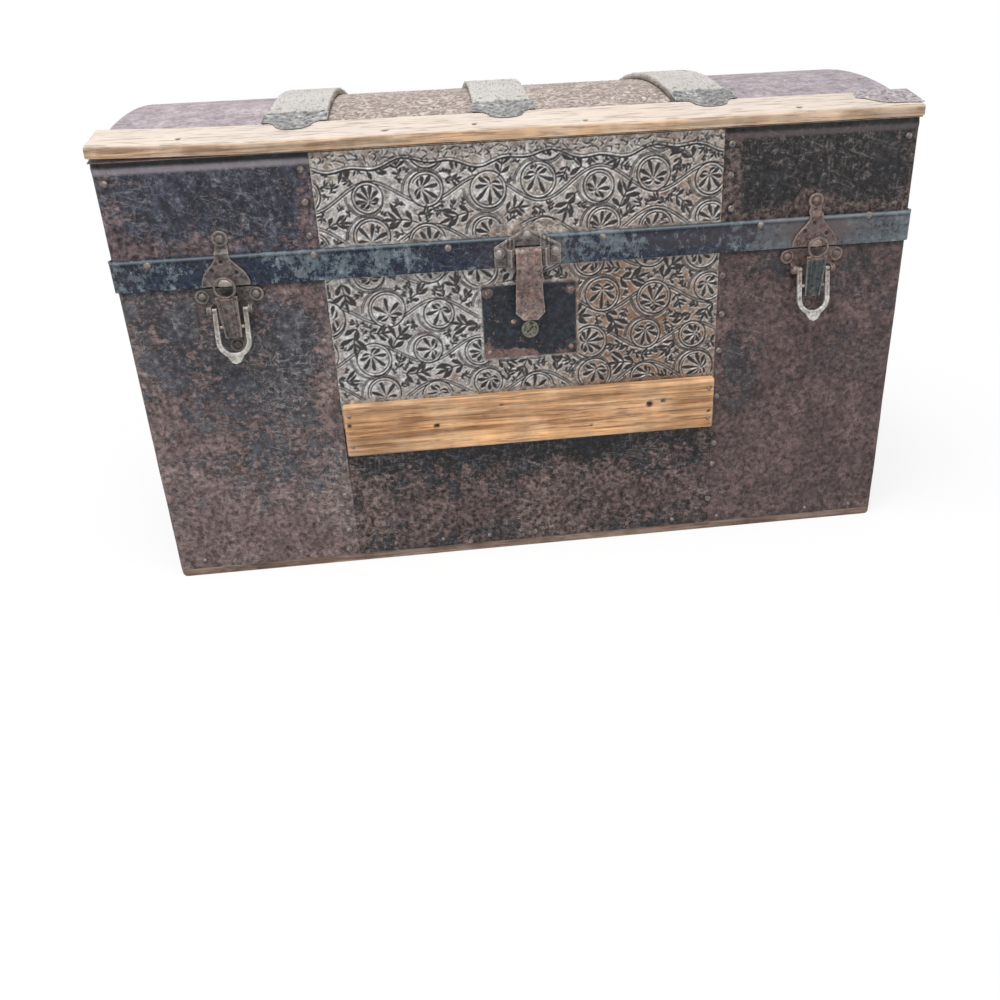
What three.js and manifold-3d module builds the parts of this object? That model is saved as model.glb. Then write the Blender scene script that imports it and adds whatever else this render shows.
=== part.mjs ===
// Dome top trunk: a boarded case and arched lid under sheet metal, with pressed tin
// panels, oak slats, stamped clamps, two draw latches, a hasp with a lock, back hinges
// and leather end handles. Millimetres, +Z up, front towards -Y, floor at z = 0.
import * as THREE from 'three';
import { mergeVertices } from 'three/addons/utils/BufferGeometryUtils.js';
import Module from 'manifold-3d';

const wasm = await Module();
wasm.setup();

// Case and lid
const CASE_LENGTH = 755;
const CASE_DEPTH = 417;
const BODY_HEIGHT = 306;
const LID_WALL_HEIGHT = 115;
const DOME_RISE = 49;
const CORNER_RADIUS = 7;
const BOARD = 11;
const BOTTOM_BOARD = 8;
const TOP_BOARD = 8;
const FOOT_RADIUS = 7;
const SHEET = 0.7;
const SEAT_GAP = 0.3;
const SEAM_GAP = 0.3;
const PANEL_LENGTH = 378;
const OVERRUN = 5;

// Lid band
const BAND_HEIGHT = 29;
const BAND_THICKNESS = 3.2;
const BAND_BEAD = 4;
const BAND_BEAD_RELIEF = 0.9;

// Wooden slats
const FRONT_SLAT_DROP = 125;
const FRONT_SLAT_HEIGHT = 55;
const FRONT_SLAT_THICKNESS = 10;
const FRONT_SLAT_END_GAP = 2;
const SLAT_ROUNDING = 3;
const EDGE_SLAT_WIDTH = 40;
const EDGE_SLAT_FRONT = 11;
const EDGE_SLAT_BACK = 7.5;
const EDGE_SLAT_PROUD = 4;
const CROSS_SLAT_WIDTH = 56;
const CROSS_SLAT_THICKNESS = 7.2;
const CROSS_SLAT_SPACING = 193;
const CROSS_SLAT_SHIFT = -10;

// Stamped clamps over the slats
const CLAMP_WIDTH = 60;
const CLAMP_THICKNESS = 1.2;
const CLAMP_LAP = 26;
const CLAMP_TONGUE = 20;
const CLAMP_FLANGE_SHARE = 0.8;
const CORNER_CLAMP_LENGTH = 58;

// Draw latches
const LATCH_OFFSET = 279;
const LATCH_SHEET = 1.5;
const KEEPER_TAB_HEIGHT = 43.5;
const KEEPER_TAB_RADIUS = 7.5;
const KEEPER_NECK = 6.5;
const KEEPER_SKIRT = 22;
const BOSS_RADIUS = 7.4;
const BOSS_HEIGHT = 1.2;
const BOSS_PROUD = 5.5;
const BASE_TOP = 1.2;
const BASE_EAR_RADIUS = 7;
const BASE_EAR_OFFSET = 24.5;
const BASE_EAR_DROP = 8.5;
const BASE_TAIL_DROP = 56;
const BASE_TAIL_RADIUS = 7.5;
const BASE_HALF_WIDTH = 14;
const RIVET_RADIUS = 3.4;
const RIVET_HEIGHT = 1.8;
const BAIL_PIVOT_DROP = 21;
const BAIL_PIVOT_STANDOFF = 6.7;
const BAIL_PIN_RADIUS = 1.6;
const BAIL_BARREL_RADIUS = 4;
const BAIL_BARREL_LENGTH = 4.2;
const BAIL_HALF_SPAN = 14;
const BAIL_BAR_WIDTH = 4.4;
const BAIL_BAR_DEPTH = 3.2;
const BAIL_REACH = 45;
const BAIL_TAB_LENGTH = 8;
const BAIL_TAB_WIDTH = 16;
const BAIL_REST_LIFT = 10;
const LINK_ARM = 16;
const LINK_INSET = 1.5;
const LINK_THICKNESS = 2;
const LINK_RIB_HEIGHT = 0.8;
const LINK_EYE_RADIUS = 8.2;
const LINK_EYE_WALL = 2;
const LINK_TOP_WIDTH = 20;
const LINK_TAIL_WIDTH = 15;
const LINK_TAIL = 10;
const LINK_BARREL_RADIUS = 2.9;
const LINK_BARREL_LENGTH = 12;
const LINK_RATIO = -1.5;
const PIN_CLEARANCE = 0.3;

// Hasp
const LOCK_OFFSET = 2;
const HASP_PLATE_HALF_WIDTH = 31.5;
const HASP_PLATE_SHOULDER = 20;
const HASP_PLATE_PEAK = 37;
const HASP_PLATE_FOOT = 1.2;
const HASP_SHEET = 1.6;
const HASP_HINGE_HEIGHT = 14;
const HASP_BARREL_RADIUS = 4.2;
const HASP_PIN_RADIUS = 1.8;
const HASP_CHEEK_WIDTH = 8;
const HASP_SLOT_HEIGHT = 1.8;
const HASP_TOP_WIDTH = 24;
const HASP_FOOT_WIDTH = 28;
const HASP_REACH = 64;
const HASP_BEND_SLOPE = 2.2;
const HASP_CLIP = 7;
const HASP_REST_LIFT = 9;

// Lock
const LOCK_PLATE_WIDTH = 92;
const LOCK_PLATE_TOP_DROP = 17.5;
const LOCK_PLATE_HEIGHT = 72.5;
const LOCK_PLATE_SHEET = 1.2;
const STAPLE_DROP = 39;
const STAPLE_HEIGHT = 12;
const STAPLE_THICKNESS = 2.4;
const STAPLE_WALL = 1.6;
const STAPLE_CLEARANCE = 1.1;
const STAPLE_ROUNDING = 2.5;
const BOLT_THICKNESS = 3;
const BOLT_HEIGHT = 4.4;
const BOLT_LENGTH = 15;
const BOLT_ARM = 6;
const BOLT_SETBACK = 1;
const BOLT_GUIDE_CLEARANCE = 0.3;
const PLUG_DROP = 62;
const PLUG_FLANGE_RADIUS = 8.5;
const PLUG_FLANGE_THICKNESS = 1.4;
const PLUG_NECK_RADIUS = 5.6;
const PLUG_CRANK = 4.2;
const PLUG_PIN_RADIUS = 1.1;
const PLUG_TURN = 90;
const KEY_SLOT_LENGTH = 9;
const KEY_SLOT_WIDTH = 1.8;
const KEY_SLOT_DEPTH = 2;
const BOLT_PRONG = 2.4;
const CASE_WALL = 1.3;
const CASE_CAVITY_DEPTH = 6;

// Back hinges
const HINGE_OFFSET = 235;
const HINGE_WIDTH = 44;
const HINGE_SHEET = 1.5;
const HINGE_BARREL_RADIUS = 4;
const HINGE_PIN_RADIUS = 1.8;
const HINGE_BODY_DROP = 52;
const HINGE_LID_RISE = 24;
const HINGE_MIDDLE_KNUCKLE = 16;

// Leather end handles
const HANDLE_HEIGHT = 178;
const HANDLE_SPAN = 190;
const HANDLE_STRAP_WIDTH = 26;
const HANDLE_STRAP_THICKNESS = 6;
const HANDLE_BOW = 26;
const HANDLE_BOW_POWER = 1.2;
const HANDLE_CAP_LENGTH = 52;
const HANDLE_CAP_WIDTH = 42;
const HANDLE_CAP_SHEET = 1.6;
const HANDLE_CAP_CHAMFER = 8;

// Worked-out places
const SHEET_X = CASE_LENGTH / 2;
const SHEET_Y = CASE_DEPTH / 2;
const WOOD_INSET = SHEET + SEAT_GAP;
const WOOD_X = SHEET_X - WOOD_INSET;
const WOOD_Y = SHEET_Y - WOOD_INSET;
const SEAM_LOW = BODY_HEIGHT - SEAM_GAP / 2;
const SEAM_HIGH = BODY_HEIGHT + SEAM_GAP / 2;
const DOME_RADIUS = (SHEET_Y ** 2 + DOME_RISE ** 2) / (2 * DOME_RISE);
const CROWN = BODY_HEIGHT + LID_WALL_HEIGHT + DOME_RISE;
const DOME_CENTRE = CROWN - DOME_RADIUS;
const PANEL_END = PANEL_LENGTH / 2;
const BAND_PROUD = SEAT_GAP + BAND_THICKNESS;
const BOARD_UNDER_DOME = WOOD_INSET + TOP_BOARD;
const CROSS_SLAT_PLACES = [-1, 0, 1].map((step) => CROSS_SLAT_SHIFT + step * CROSS_SLAT_SPACING);
const ARC_STEPS = 20;
const ROUND_STEPS = 16;
const CORNER_STEPS = 4;
const HEAD_SIDES = 12;
const LAP_STEPS = 3;
const WELD = 1e-4;
const radians = THREE.MathUtils.degToRad;

// A closed geometry as a solid that can be cut and joined.
function solid(geometry) {
  const bare = geometry.clone();
  bare.deleteAttribute('normal');
  bare.deleteAttribute('uv');
  const merged = mergeVertices(bare, WELD);
  return new wasm.Manifold(new wasm.Mesh({
    numProp: 3,
    vertProperties: new Float32Array(merged.attributes.position.array),
    triVerts: new Uint32Array(merged.index.array),
  }));
}

function toGeometry(shape) {
  const mesh = shape.getMesh();
  const geometry = new THREE.BufferGeometry();
  geometry.setAttribute('position', new THREE.BufferAttribute(mesh.vertProperties, 3));
  geometry.setIndex(new THREE.BufferAttribute(mesh.triVerts, 1));
  geometry.computeVertexNormals();
  return geometry;
}

function join(first, ...others) {
  return others.reduce((sum, other) => sum.add(other), first);
}

function cut(first, ...others) {
  return others.reduce((rest, other) => rest.subtract(other), first);
}

// Points of a circular arc from one angle to another, in degrees.
function arc(centreA, centreB, radius, start, end, steps = ROUND_STEPS) {
  const points = [];
  for (let i = 0; i <= steps; i += 1) {
    const angle = radians(start + ((end - start) * i) / steps);
    points.push([centreA + radius * Math.cos(angle), centreB + radius * Math.sin(angle)]);
  }
  return points;
}

function circle(centreA, centreB, radius, steps = ROUND_STEPS) {
  return arc(centreA, centreB, radius, 0, 360, steps).slice(0, -1);
}

function rectangle(a0, a1, b0, b1, rounding = 0) {
  if (rounding === 0) {
    return [[a0, b0], [a1, b0], [a1, b1], [a0, b1]];
  }
  return [
    ...arc(a0 + rounding, b0 + rounding, rounding, 180, 270, CORNER_STEPS),
    ...arc(a1 - rounding, b0 + rounding, rounding, 270, 360, CORNER_STEPS),
    ...arc(a1 - rounding, b1 - rounding, rounding, 0, 90, CORNER_STEPS),
    ...arc(a0 + rounding, b1 - rounding, rounding, 90, 180, CORNER_STEPS),
  ];
}

// An outline pushed along an axis: (y, z) along x, (x, z) along y or (x, y) along z.
function prism(outline, axis, from, to) {
  const shape = new THREE.Shape(outline.map(([a, b]) => new THREE.Vector2(a, b)));
  const geometry = new THREE.ExtrudeGeometry(shape, { depth: to - from, bevelEnabled: false });
  const place = new THREE.Matrix4();
  const [x, y, z] = [new THREE.Vector3(1, 0, 0), new THREE.Vector3(0, 1, 0), new THREE.Vector3(0, 0, 1)];
  if (axis === 'x') {
    place.makeBasis(y, z, x).setPosition(from, 0, 0);
  } else if (axis === 'y') {
    place.makeBasis(x, z, y.negate()).setPosition(0, to, 0);
  } else {
    place.setPosition(0, 0, from);
  }
  return solid(geometry.applyMatrix4(place));
}

function block(x0, x1, y0, y1, z0, z1) {
  return prism(rectangle(x0, x1, y0, y1), 'z', z0, z1);
}

function rod(axis, centreA, centreB, radius, from, to, steps = ROUND_STEPS) {
  return prism(circle(centreA, centreB, radius, steps), axis, from, to);
}

// A low round head, such as a rivet's, that stands on a plane facing -Y.
function head(x, y, z, radius, height) {
  const profile = [[0, 0], [radius, 0]];
  const riseShares = [0.35, 0.7];
  for (const share of riseShares) {
    profile.push([radius * Math.sqrt(1 - share ** 2), height * share]);
  }
  profile.push([0, height]);
  const lathe = new THREE.LatheGeometry(profile.map(([a, b]) => new THREE.Vector2(a, b)), HEAD_SIDES);
  lathe.rotateX(Math.PI);
  lathe.translate(x, y, z);
  return solid(lathe);
}

const trunk = new THREE.Group();

function finish(color, roughness, metalness) {
  return () => new THREE.MeshStandardMaterial({ color, roughness, metalness });
}

const pine = finish(0x9c7a50, 0.8, 0);
const oak = finish(0xb58555, 0.75, 0);
const weatheredOak = finish(0xb3a58c, 0.85, 0);
const navySheet = finish(0x3b4048, 0.6, 0.3);
const rustSheet = finish(0x5f504e, 0.7, 0.3);
const pressedTin = finish(0x9a948a, 0.5, 0.6);
const slateBand = finish(0x4f6470, 0.5, 0.4);
const pewter = finish(0x8d9499, 0.45, 0.7);
const rustyIron = finish(0x6f5f56, 0.65, 0.5);
const paleSteel = finish(0xb5ada0, 0.4, 0.8);
const blackIron = finish(0x252b33, 0.5, 0.4);
const dullBrass = finish(0x83897a, 0.45, 0.7);
const leather = finish(0x4a3426, 0.8, 0);

// Adds one named piece, built about its own origin and set in its group.
function piece(name, shape, makeFinish, group = trunk) {
  const mesh = new THREE.Mesh(toGeometry(shape), makeFinish());
  mesh.name = name;
  group.add(mesh);
  return mesh;
}

function groupAt(x, y, z, parent = trunk) {
  const group = new THREE.Group();
  group.position.set(x, y, z);
  parent.add(group);
  return group;
}

// Plan outline of the case, moved in by an inset.
function plan(inset) {
  const radius = Math.max(CORNER_RADIUS - inset, 0);
  return rectangle(inset - SHEET_X, SHEET_X - inset, inset - SHEET_Y, SHEET_Y - inset, radius);
}

function caseBlock(inset, z0, z1) {
  return prism(plan(inset), 'z', z0, z1);
}

function ringWall(outerInset, innerInset, z0, z1) {
  return cut(caseBlock(outerInset, z0, z1), caseBlock(innerInset, z0 - OVERRUN, z1 + OVERRUN));
}

function domeHeight(y, raise = 0) {
  return DOME_CENTRE + Math.sqrt((DOME_RADIUS + raise) ** 2 - y ** 2);
}

// Points of the dome's arc, raised from the sheet's outer face, from one y to another.
function domeArc(raise, fromY, toY, steps = ARC_STEPS) {
  const points = [];
  for (let i = 0; i <= steps; i += 1) {
    const y = fromY + ((toY - fromY) * i) / steps;
    points.push([y, domeHeight(y, raise)]);
  }
  return points;
}

function underDome(raise, x0 = -CASE_LENGTH, x1 = CASE_LENGTH) {
  const edge = SHEET_Y + OVERRUN;
  return prism([[-edge, 0], [edge, 0], ...domeArc(raise, edge, -edge)], 'x', x0, x1);
}

function domeShell(top, bottom, x0, x1) {
  return cut(underDome(top, x0, x1), underDome(bottom, x0 - OVERRUN, x1 + OVERRUN));
}

// Spans in x of the left, middle and right sheets, with a butt gap at each seam.
const SHEET_SPANS = {
  left: [-CASE_LENGTH, -PANEL_END - SEAT_GAP / 2],
  middle: [-PANEL_END + SEAT_GAP / 2, PANEL_END - SEAT_GAP / 2],
  right: [PANEL_END + SEAT_GAP / 2, CASE_LENGTH],
};

function spanBlock(span, y0 = -CASE_DEPTH, y1 = CASE_DEPTH) {
  return block(span[0], span[1], y0, y1, -OVERRUN, CROWN + OVERRUN);
}

// The pocket in the front board that takes the lock's case.
function lockPocket(clearance) {
  const halfWidth = PLUG_FLANGE_RADIUS + BOLT_LENGTH / 2 + CASE_WALL + clearance;
  const centre = LOCK_OFFSET - BOLT_LENGTH / 4;
  const top = BODY_HEIGHT - STAPLE_DROP + STAPLE_HEIGHT / 2 + STAPLE_CLEARANCE + CASE_WALL + clearance;
  const bottom = BODY_HEIGHT - PLUG_DROP - PLUG_NECK_RADIUS - CASE_WALL - clearance;
  const back = -SHEET_Y + CASE_CAVITY_DEPTH + CASE_WALL + clearance;
  return block(centre - halfWidth, centre + halfWidth, -SHEET_Y - OVERRUN, back, bottom, top);
}

function makeBody() {
  const endInner = WOOD_X - BOARD;
  const sideInner = WOOD_Y - BOARD;
  const boardFoot = BOTTOM_BOARD;
  const wood = caseBlock(WOOD_INSET, boardFoot, SEAM_LOW);
  const frontBoard = wood.intersect(block(-CASE_LENGTH, CASE_LENGTH, -CASE_DEPTH, -sideInner, 0, CROWN));
  piece('front_board', cut(frontBoard, lockPocket(SEAT_GAP)), pine);
  const backBoard = wood.intersect(block(-CASE_LENGTH, CASE_LENGTH, sideInner, CASE_DEPTH, 0, CROWN));
  piece('back_board', backBoard, pine);
  const endHalf = sideInner - SEAT_GAP;
  piece('left_end_board', block(-WOOD_X, -endInner, -endHalf, endHalf, boardFoot, SEAM_LOW), pine);
  piece('right_end_board', block(endInner, WOOD_X, -endHalf, endHalf, boardFoot, SEAM_LOW), pine);
  const footOutline = [
    ...arc(FOOT_RADIUS - SHEET_X, FOOT_RADIUS, FOOT_RADIUS, 180, 270, CORNER_STEPS),
    ...arc(SHEET_X - FOOT_RADIUS, FOOT_RADIUS, FOOT_RADIUS, 270, 360, CORNER_STEPS),
    [SHEET_X, BOTTOM_BOARD],
    [-SHEET_X, BOTTOM_BOARD],
  ];
  const foot = prism(footOutline, 'y', -SHEET_Y, SHEET_Y);
  piece('bottom_board', foot.intersect(caseBlock(0, -OVERRUN, BOTTOM_BOARD)), pine);

  const skin = ringWall(0, SHEET, BOTTOM_BOARD + SEAT_GAP, SEAM_LOW);
  piece('body_left_sheet', skin.intersect(spanBlock(SHEET_SPANS.left)), rustSheet);
  piece('body_right_sheet', skin.intersect(spanBlock(SHEET_SPANS.right)), rustSheet);
  piece('body_back_sheet', skin.intersect(spanBlock(SHEET_SPANS.middle, 0)), rustSheet);
  const frontSkin = cut(skin.intersect(spanBlock(SHEET_SPANS.middle, -CASE_DEPTH, 0)), lockPocket(SEAT_GAP));
  const split = BODY_HEIGHT - FRONT_SLAT_DROP - FRONT_SLAT_HEIGHT / 2;
  const above = block(-CASE_LENGTH, CASE_LENGTH, -CASE_DEPTH, 0, split + SEAT_GAP / 2, CROWN);
  const below = block(-CASE_LENGTH, CASE_LENGTH, -CASE_DEPTH, 0, 0, split - SEAT_GAP / 2);
  piece('body_front_tin', frontSkin.intersect(above), pressedTin);
  piece('body_front_low_sheet', frontSkin.intersect(below), rustSheet);

  const slatTop = BODY_HEIGHT - FRONT_SLAT_DROP;
  const slatBack = -SHEET_Y - SEAT_GAP;
  const slatOutline = rectangle(
    slatBack - FRONT_SLAT_THICKNESS, slatBack, slatTop - FRONT_SLAT_HEIGHT, slatTop, SLAT_ROUNDING);
  const slatEnd = PANEL_END - FRONT_SLAT_END_GAP;
  piece('front_slat', prism(slatOutline, 'x', -slatEnd, slatEnd), oak);
}

function makeLid() {
  const endInner = WOOD_X - BOARD;
  const sideInner = WOOD_Y - BOARD;
  const wall = caseBlock(WOOD_INSET, SEAM_HIGH, CROWN).intersect(underDome(-BOARD_UNDER_DOME - SEAT_GAP));
  const rail = (y0, y1) => wall.intersect(block(-CASE_LENGTH, CASE_LENGTH, y0, y1, 0, CROWN));
  piece('lid_front_rail', rail(-CASE_DEPTH, -sideInner), pine);
  piece('lid_back_rail', rail(sideInner, CASE_DEPTH), pine);
  const endHalf = sideInner - SEAT_GAP;
  const lidEnd = (x0, x1) => wall.intersect(block(x0, x1, -endHalf, endHalf, 0, CROWN));
  piece('lid_left_end', lidEnd(-CASE_LENGTH, -endInner), pine);
  piece('lid_right_end', lidEnd(endInner, CASE_LENGTH), pine);
  const top = domeShell(-WOOD_INSET, -BOARD_UNDER_DOME, -CASE_LENGTH, CASE_LENGTH);
  piece('lid_top_board', top.intersect(caseBlock(WOOD_INSET, 0, CROWN)), pine);

  const skin = ringWall(0, SHEET, SEAM_HIGH, CROWN).intersect(underDome(-SHEET - SEAT_GAP));
  piece('lid_left_sheet', skin.intersect(spanBlock(SHEET_SPANS.left)), navySheet);
  piece('lid_right_sheet', skin.intersect(spanBlock(SHEET_SPANS.right)), navySheet);
  piece('lid_front_tin', skin.intersect(spanBlock(SHEET_SPANS.middle, -CASE_DEPTH, 0)), pressedTin);
  piece('lid_back_sheet', skin.intersect(spanBlock(SHEET_SPANS.middle, 0)), navySheet);
  const cover = domeShell(0, -SHEET, -CASE_LENGTH, CASE_LENGTH).intersect(caseBlock(0, 0, CROWN + OVERRUN));
  piece('lid_top_left_sheet', cover.intersect(spanBlock(SHEET_SPANS.left)), rustSheet);
  piece('lid_top_tin', cover.intersect(spanBlock(SHEET_SPANS.middle)), pressedTin);
  piece('lid_top_right_sheet', cover.intersect(spanBlock(SHEET_SPANS.right)), rustSheet);
}

// Steel band round the lid's lower edge, with a rolled bead at its top and bottom.
function makeBand() {
  const top = SEAM_HIGH + BAND_HEIGHT;
  const ring = (outer, z0, z1) => ringWall(-outer, -SEAT_GAP, z0, z1);
  const band = join(
    ring(BAND_PROUD, SEAM_HIGH, SEAM_HIGH + BAND_BEAD),
    ring(BAND_PROUD - BAND_BEAD_RELIEF, SEAM_HIGH, top),
    ring(BAND_PROUD, top - BAND_BEAD, top),
  );
  piece('lid_band', band, slateBand);
}

// Nose, heel and heights of the front edge slat, and the slope of its top in degrees.
function edgeSlatFrame() {
  const nose = -SHEET_Y - EDGE_SLAT_PROUD;
  const heel = nose + EDGE_SLAT_WIDTH;
  const foot = domeHeight(SHEET_Y) + SEAT_GAP;
  const top = foot + EDGE_SLAT_FRONT;
  const back = domeHeight(heel, EDGE_SLAT_BACK);
  const slope = Math.atan2(back - top, EDGE_SLAT_WIDTH - 2 * SLAT_ROUNDING);
  return { nose, heel, foot, top, back, slope: THREE.MathUtils.radToDeg(slope) };
}

// Section of the front edge slat: flat nose, sloping top, hollow to fit the dome.
function edgeSlatSection() {
  const { nose, heel, foot, top, back, slope } = edgeSlatFrame();
  const round = SLAT_ROUNDING;
  return [
    [nose, foot],
    ...domeArc(SEAT_GAP, -SHEET_Y, heel, CORNER_STEPS),
    ...arc(heel - round, back - round, round, 0, 90 + slope, CORNER_STEPS),
    ...arc(nose + round, top - round, round, 90 + slope, 180, CORNER_STEPS),
  ];
}

function mirrorY(shape) {
  return shape.mirror([0, 1, 0]);
}

// Path along the top of the edge slat and up onto a cross slat, where a clamp lies.
function clampPath(raise) {
  const { nose, heel, top, back, slope } = edgeSlatFrame();
  const round = SLAT_ROUNDING;
  return [
    ...arc(nose + round, top - round, round + raise, 90 + slope, 90 + slope, 1).slice(1),
    ...arc(heel - round, back - round, round + raise, 90 + slope, 90 + slope, 1).slice(1),
    ...domeArc(EDGE_SLAT_BACK + raise, heel + round, heel + CLAMP_LAP, LAP_STEPS),
  ];
}

// Plan of a stamped clamp: a tongue on the edge slat, wings over the cross slat's end, a waved top.
function clampPlan(centre) {
  const tongue = edgeSlatFrame().heel - CLAMP_TONGUE;
  const half = CLAMP_WIDTH / 2;
  const lobeShares = [
    [0, 0], [-0.3, 0.03], [-0.5, 0.13], [-0.6, 0.27], [-0.76, 0.35], [-1, 0.38],
    [-1, 0.84], [-0.84, 0.96], [-0.42, 0.92], [0, 1],
  ];
  const place = ([side, along]) => [centre + side * half, tongue + along * (CLAMP_TONGUE + CLAMP_LAP)];
  const mirrored = lobeShares.slice(1, -1).reverse().map(([side, along]) => [-side, along]);
  return [...lobeShares, ...mirrored].map(place);
}

// Stamped clamp: the strip over both slats, and a flange down each side of the cross slat.
function makeClamp(centre) {
  const outside = SEAT_GAP + CLAMP_THICKNESS;
  const strip = [...clampPath(SEAT_GAP), ...clampPath(outside).reverse()];
  const half = CLAMP_WIDTH / 2;
  const bent = prism(strip, 'x', centre - half - OVERRUN, centre + half + OVERRUN);
  const cover = bent.intersect(prism(clampPlan(centre), 'z', BODY_HEIGHT, CROWN + OVERRUN));
  const { heel } = edgeSlatFrame();
  const flangeStart = heel + SEAT_GAP;
  const flangeEnd = heel + CLAMP_LAP * CLAMP_FLANGE_SHARE;
  const flange = [
    ...domeArc(SEAT_GAP, flangeStart, flangeEnd, LAP_STEPS),
    ...domeArc(EDGE_SLAT_BACK + outside, flangeEnd, flangeStart, LAP_STEPS),
  ];
  const inner = CROSS_SLAT_WIDTH / 2 + SEAT_GAP;
  const outer = inner + CLAMP_THICKNESS;
  return join(
    cover,
    prism(flange, 'x', centre - outer, centre - inner),
    prism(flange, 'x', centre + inner, centre + outer),
  );
}

// Thin flat plate on the right end of the front edge slat, its inner end drawn to a point.
function makeCornerClamp() {
  const strip = [
    ...clampPath(SEAT_GAP).slice(0, -LAP_STEPS - 1),
    ...clampPath(SEAT_GAP + CLAMP_THICKNESS).slice(0, -LAP_STEPS - 1).reverse(),
  ];
  const { nose } = edgeSlatFrame();
  const start = SHEET_X - CORNER_CLAMP_LENGTH;
  const plateShares = [
    [0, 0.55], [0.16, 0.44], [0.32, 0.24], [0.5, 0.16], [0.74, 0.14], [1, 0.1], [1, 1], [0.12, 1],
  ];
  const plate = plateShares.map(([along, back]) => (
    [start + along * CORNER_CLAMP_LENGTH, nose + back * EDGE_SLAT_WIDTH]));
  return prism(strip, 'x', start, SHEET_X).intersect(prism(plate, 'z', BODY_HEIGHT, CROWN));
}

function makeSlats() {
  const edge = prism(edgeSlatSection(), 'x', -SHEET_X, SHEET_X);
  piece('front_edge_slat', edge, weatheredOak);
  piece('back_edge_slat', mirrorY(edge), weatheredOak);
  const heel = SHEET_Y + EDGE_SLAT_PROUD - EDGE_SLAT_WIDTH - SEAT_GAP;
  const sides = ['left', 'middle', 'right'];
  CROSS_SLAT_PLACES.forEach((centre, i) => {
    const section = [
      ...domeArc(SEAT_GAP, -heel, heel),
      ...domeArc(SEAT_GAP + CROSS_SLAT_THICKNESS, heel, -heel),
    ];
    const half = CROSS_SLAT_WIDTH / 2;
    piece(`${sides[i]}_cross_slat`, prism(section, 'x', centre - half, centre + half), weatheredOak);
    const clamp = makeClamp(centre);
    piece(`${sides[i]}_front_clamp`, clamp, pewter);
    piece(`${sides[i]}_back_clamp`, mirrorY(clamp), pewter);
  });
  piece('corner_clamp', makeCornerClamp(), pewter);
}

// Pear-shaped keeper, joggled from the band up to the lid's sheet, with the catch boss.
function makeKeeper() {
  const bandTop = BAND_HEIGHT + SEAM_GAP;
  const low = -BAND_PROUD - SEAT_GAP;
  const high = -SEAT_GAP;
  const section = [
    [low - LATCH_SHEET, BOSS_HEIGHT],
    [low, BOSS_HEIGHT],
    [low, bandTop + SEAT_GAP],
    [high, bandTop + BAND_PROUD + SEAT_GAP],
    [high, KEEPER_TAB_HEIGHT + KEEPER_TAB_RADIUS],
    [high - LATCH_SHEET, KEEPER_TAB_HEIGHT + KEEPER_TAB_RADIUS],
    [high - LATCH_SHEET, bandTop + BAND_PROUD + LATCH_SHEET],
    [low - LATCH_SHEET, bandTop + LATCH_SHEET],
  ];
  const sheet = prism(section, 'x', -KEEPER_SKIRT, KEEPER_SKIRT);
  const pearShares = [[1, 0.02], [0.98, 0.2], [0.86, 0.42], [0.62, 0.62], [0.42, 0.78], [0.31, 0.9]];
  const side = pearShares.map(([across, up]) => [across * KEEPER_SKIRT, up * bandTop]);
  side.push([KEEPER_NECK, bandTop + KEEPER_NECK / 2]);
  const mirrored = side.map(([x, z]) => [-x, z]).reverse();
  const tab = arc(0, KEEPER_TAB_HEIGHT, KEEPER_TAB_RADIUS, -45, 225);
  const outline = prism([...side, ...tab, ...mirrored], 'y', -SHEET_Y, 0);
  const face = low - LATCH_SHEET;
  const knob = head(0, face + SEAT_GAP, BOSS_HEIGHT, BOSS_RADIUS, BOSS_PROUD + SEAT_GAP);
  const upper = block(-CASE_LENGTH, CASE_LENGTH, -SHEET_Y, 0, BOSS_HEIGHT, LID_WALL_HEIGHT);
  const rivet = head(0, high - LATCH_SHEET, KEEPER_TAB_HEIGHT, RIVET_RADIUS, RIVET_HEIGHT);
  return join(sheet.intersect(outline), knob.intersect(upper), rivet);
}

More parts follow.
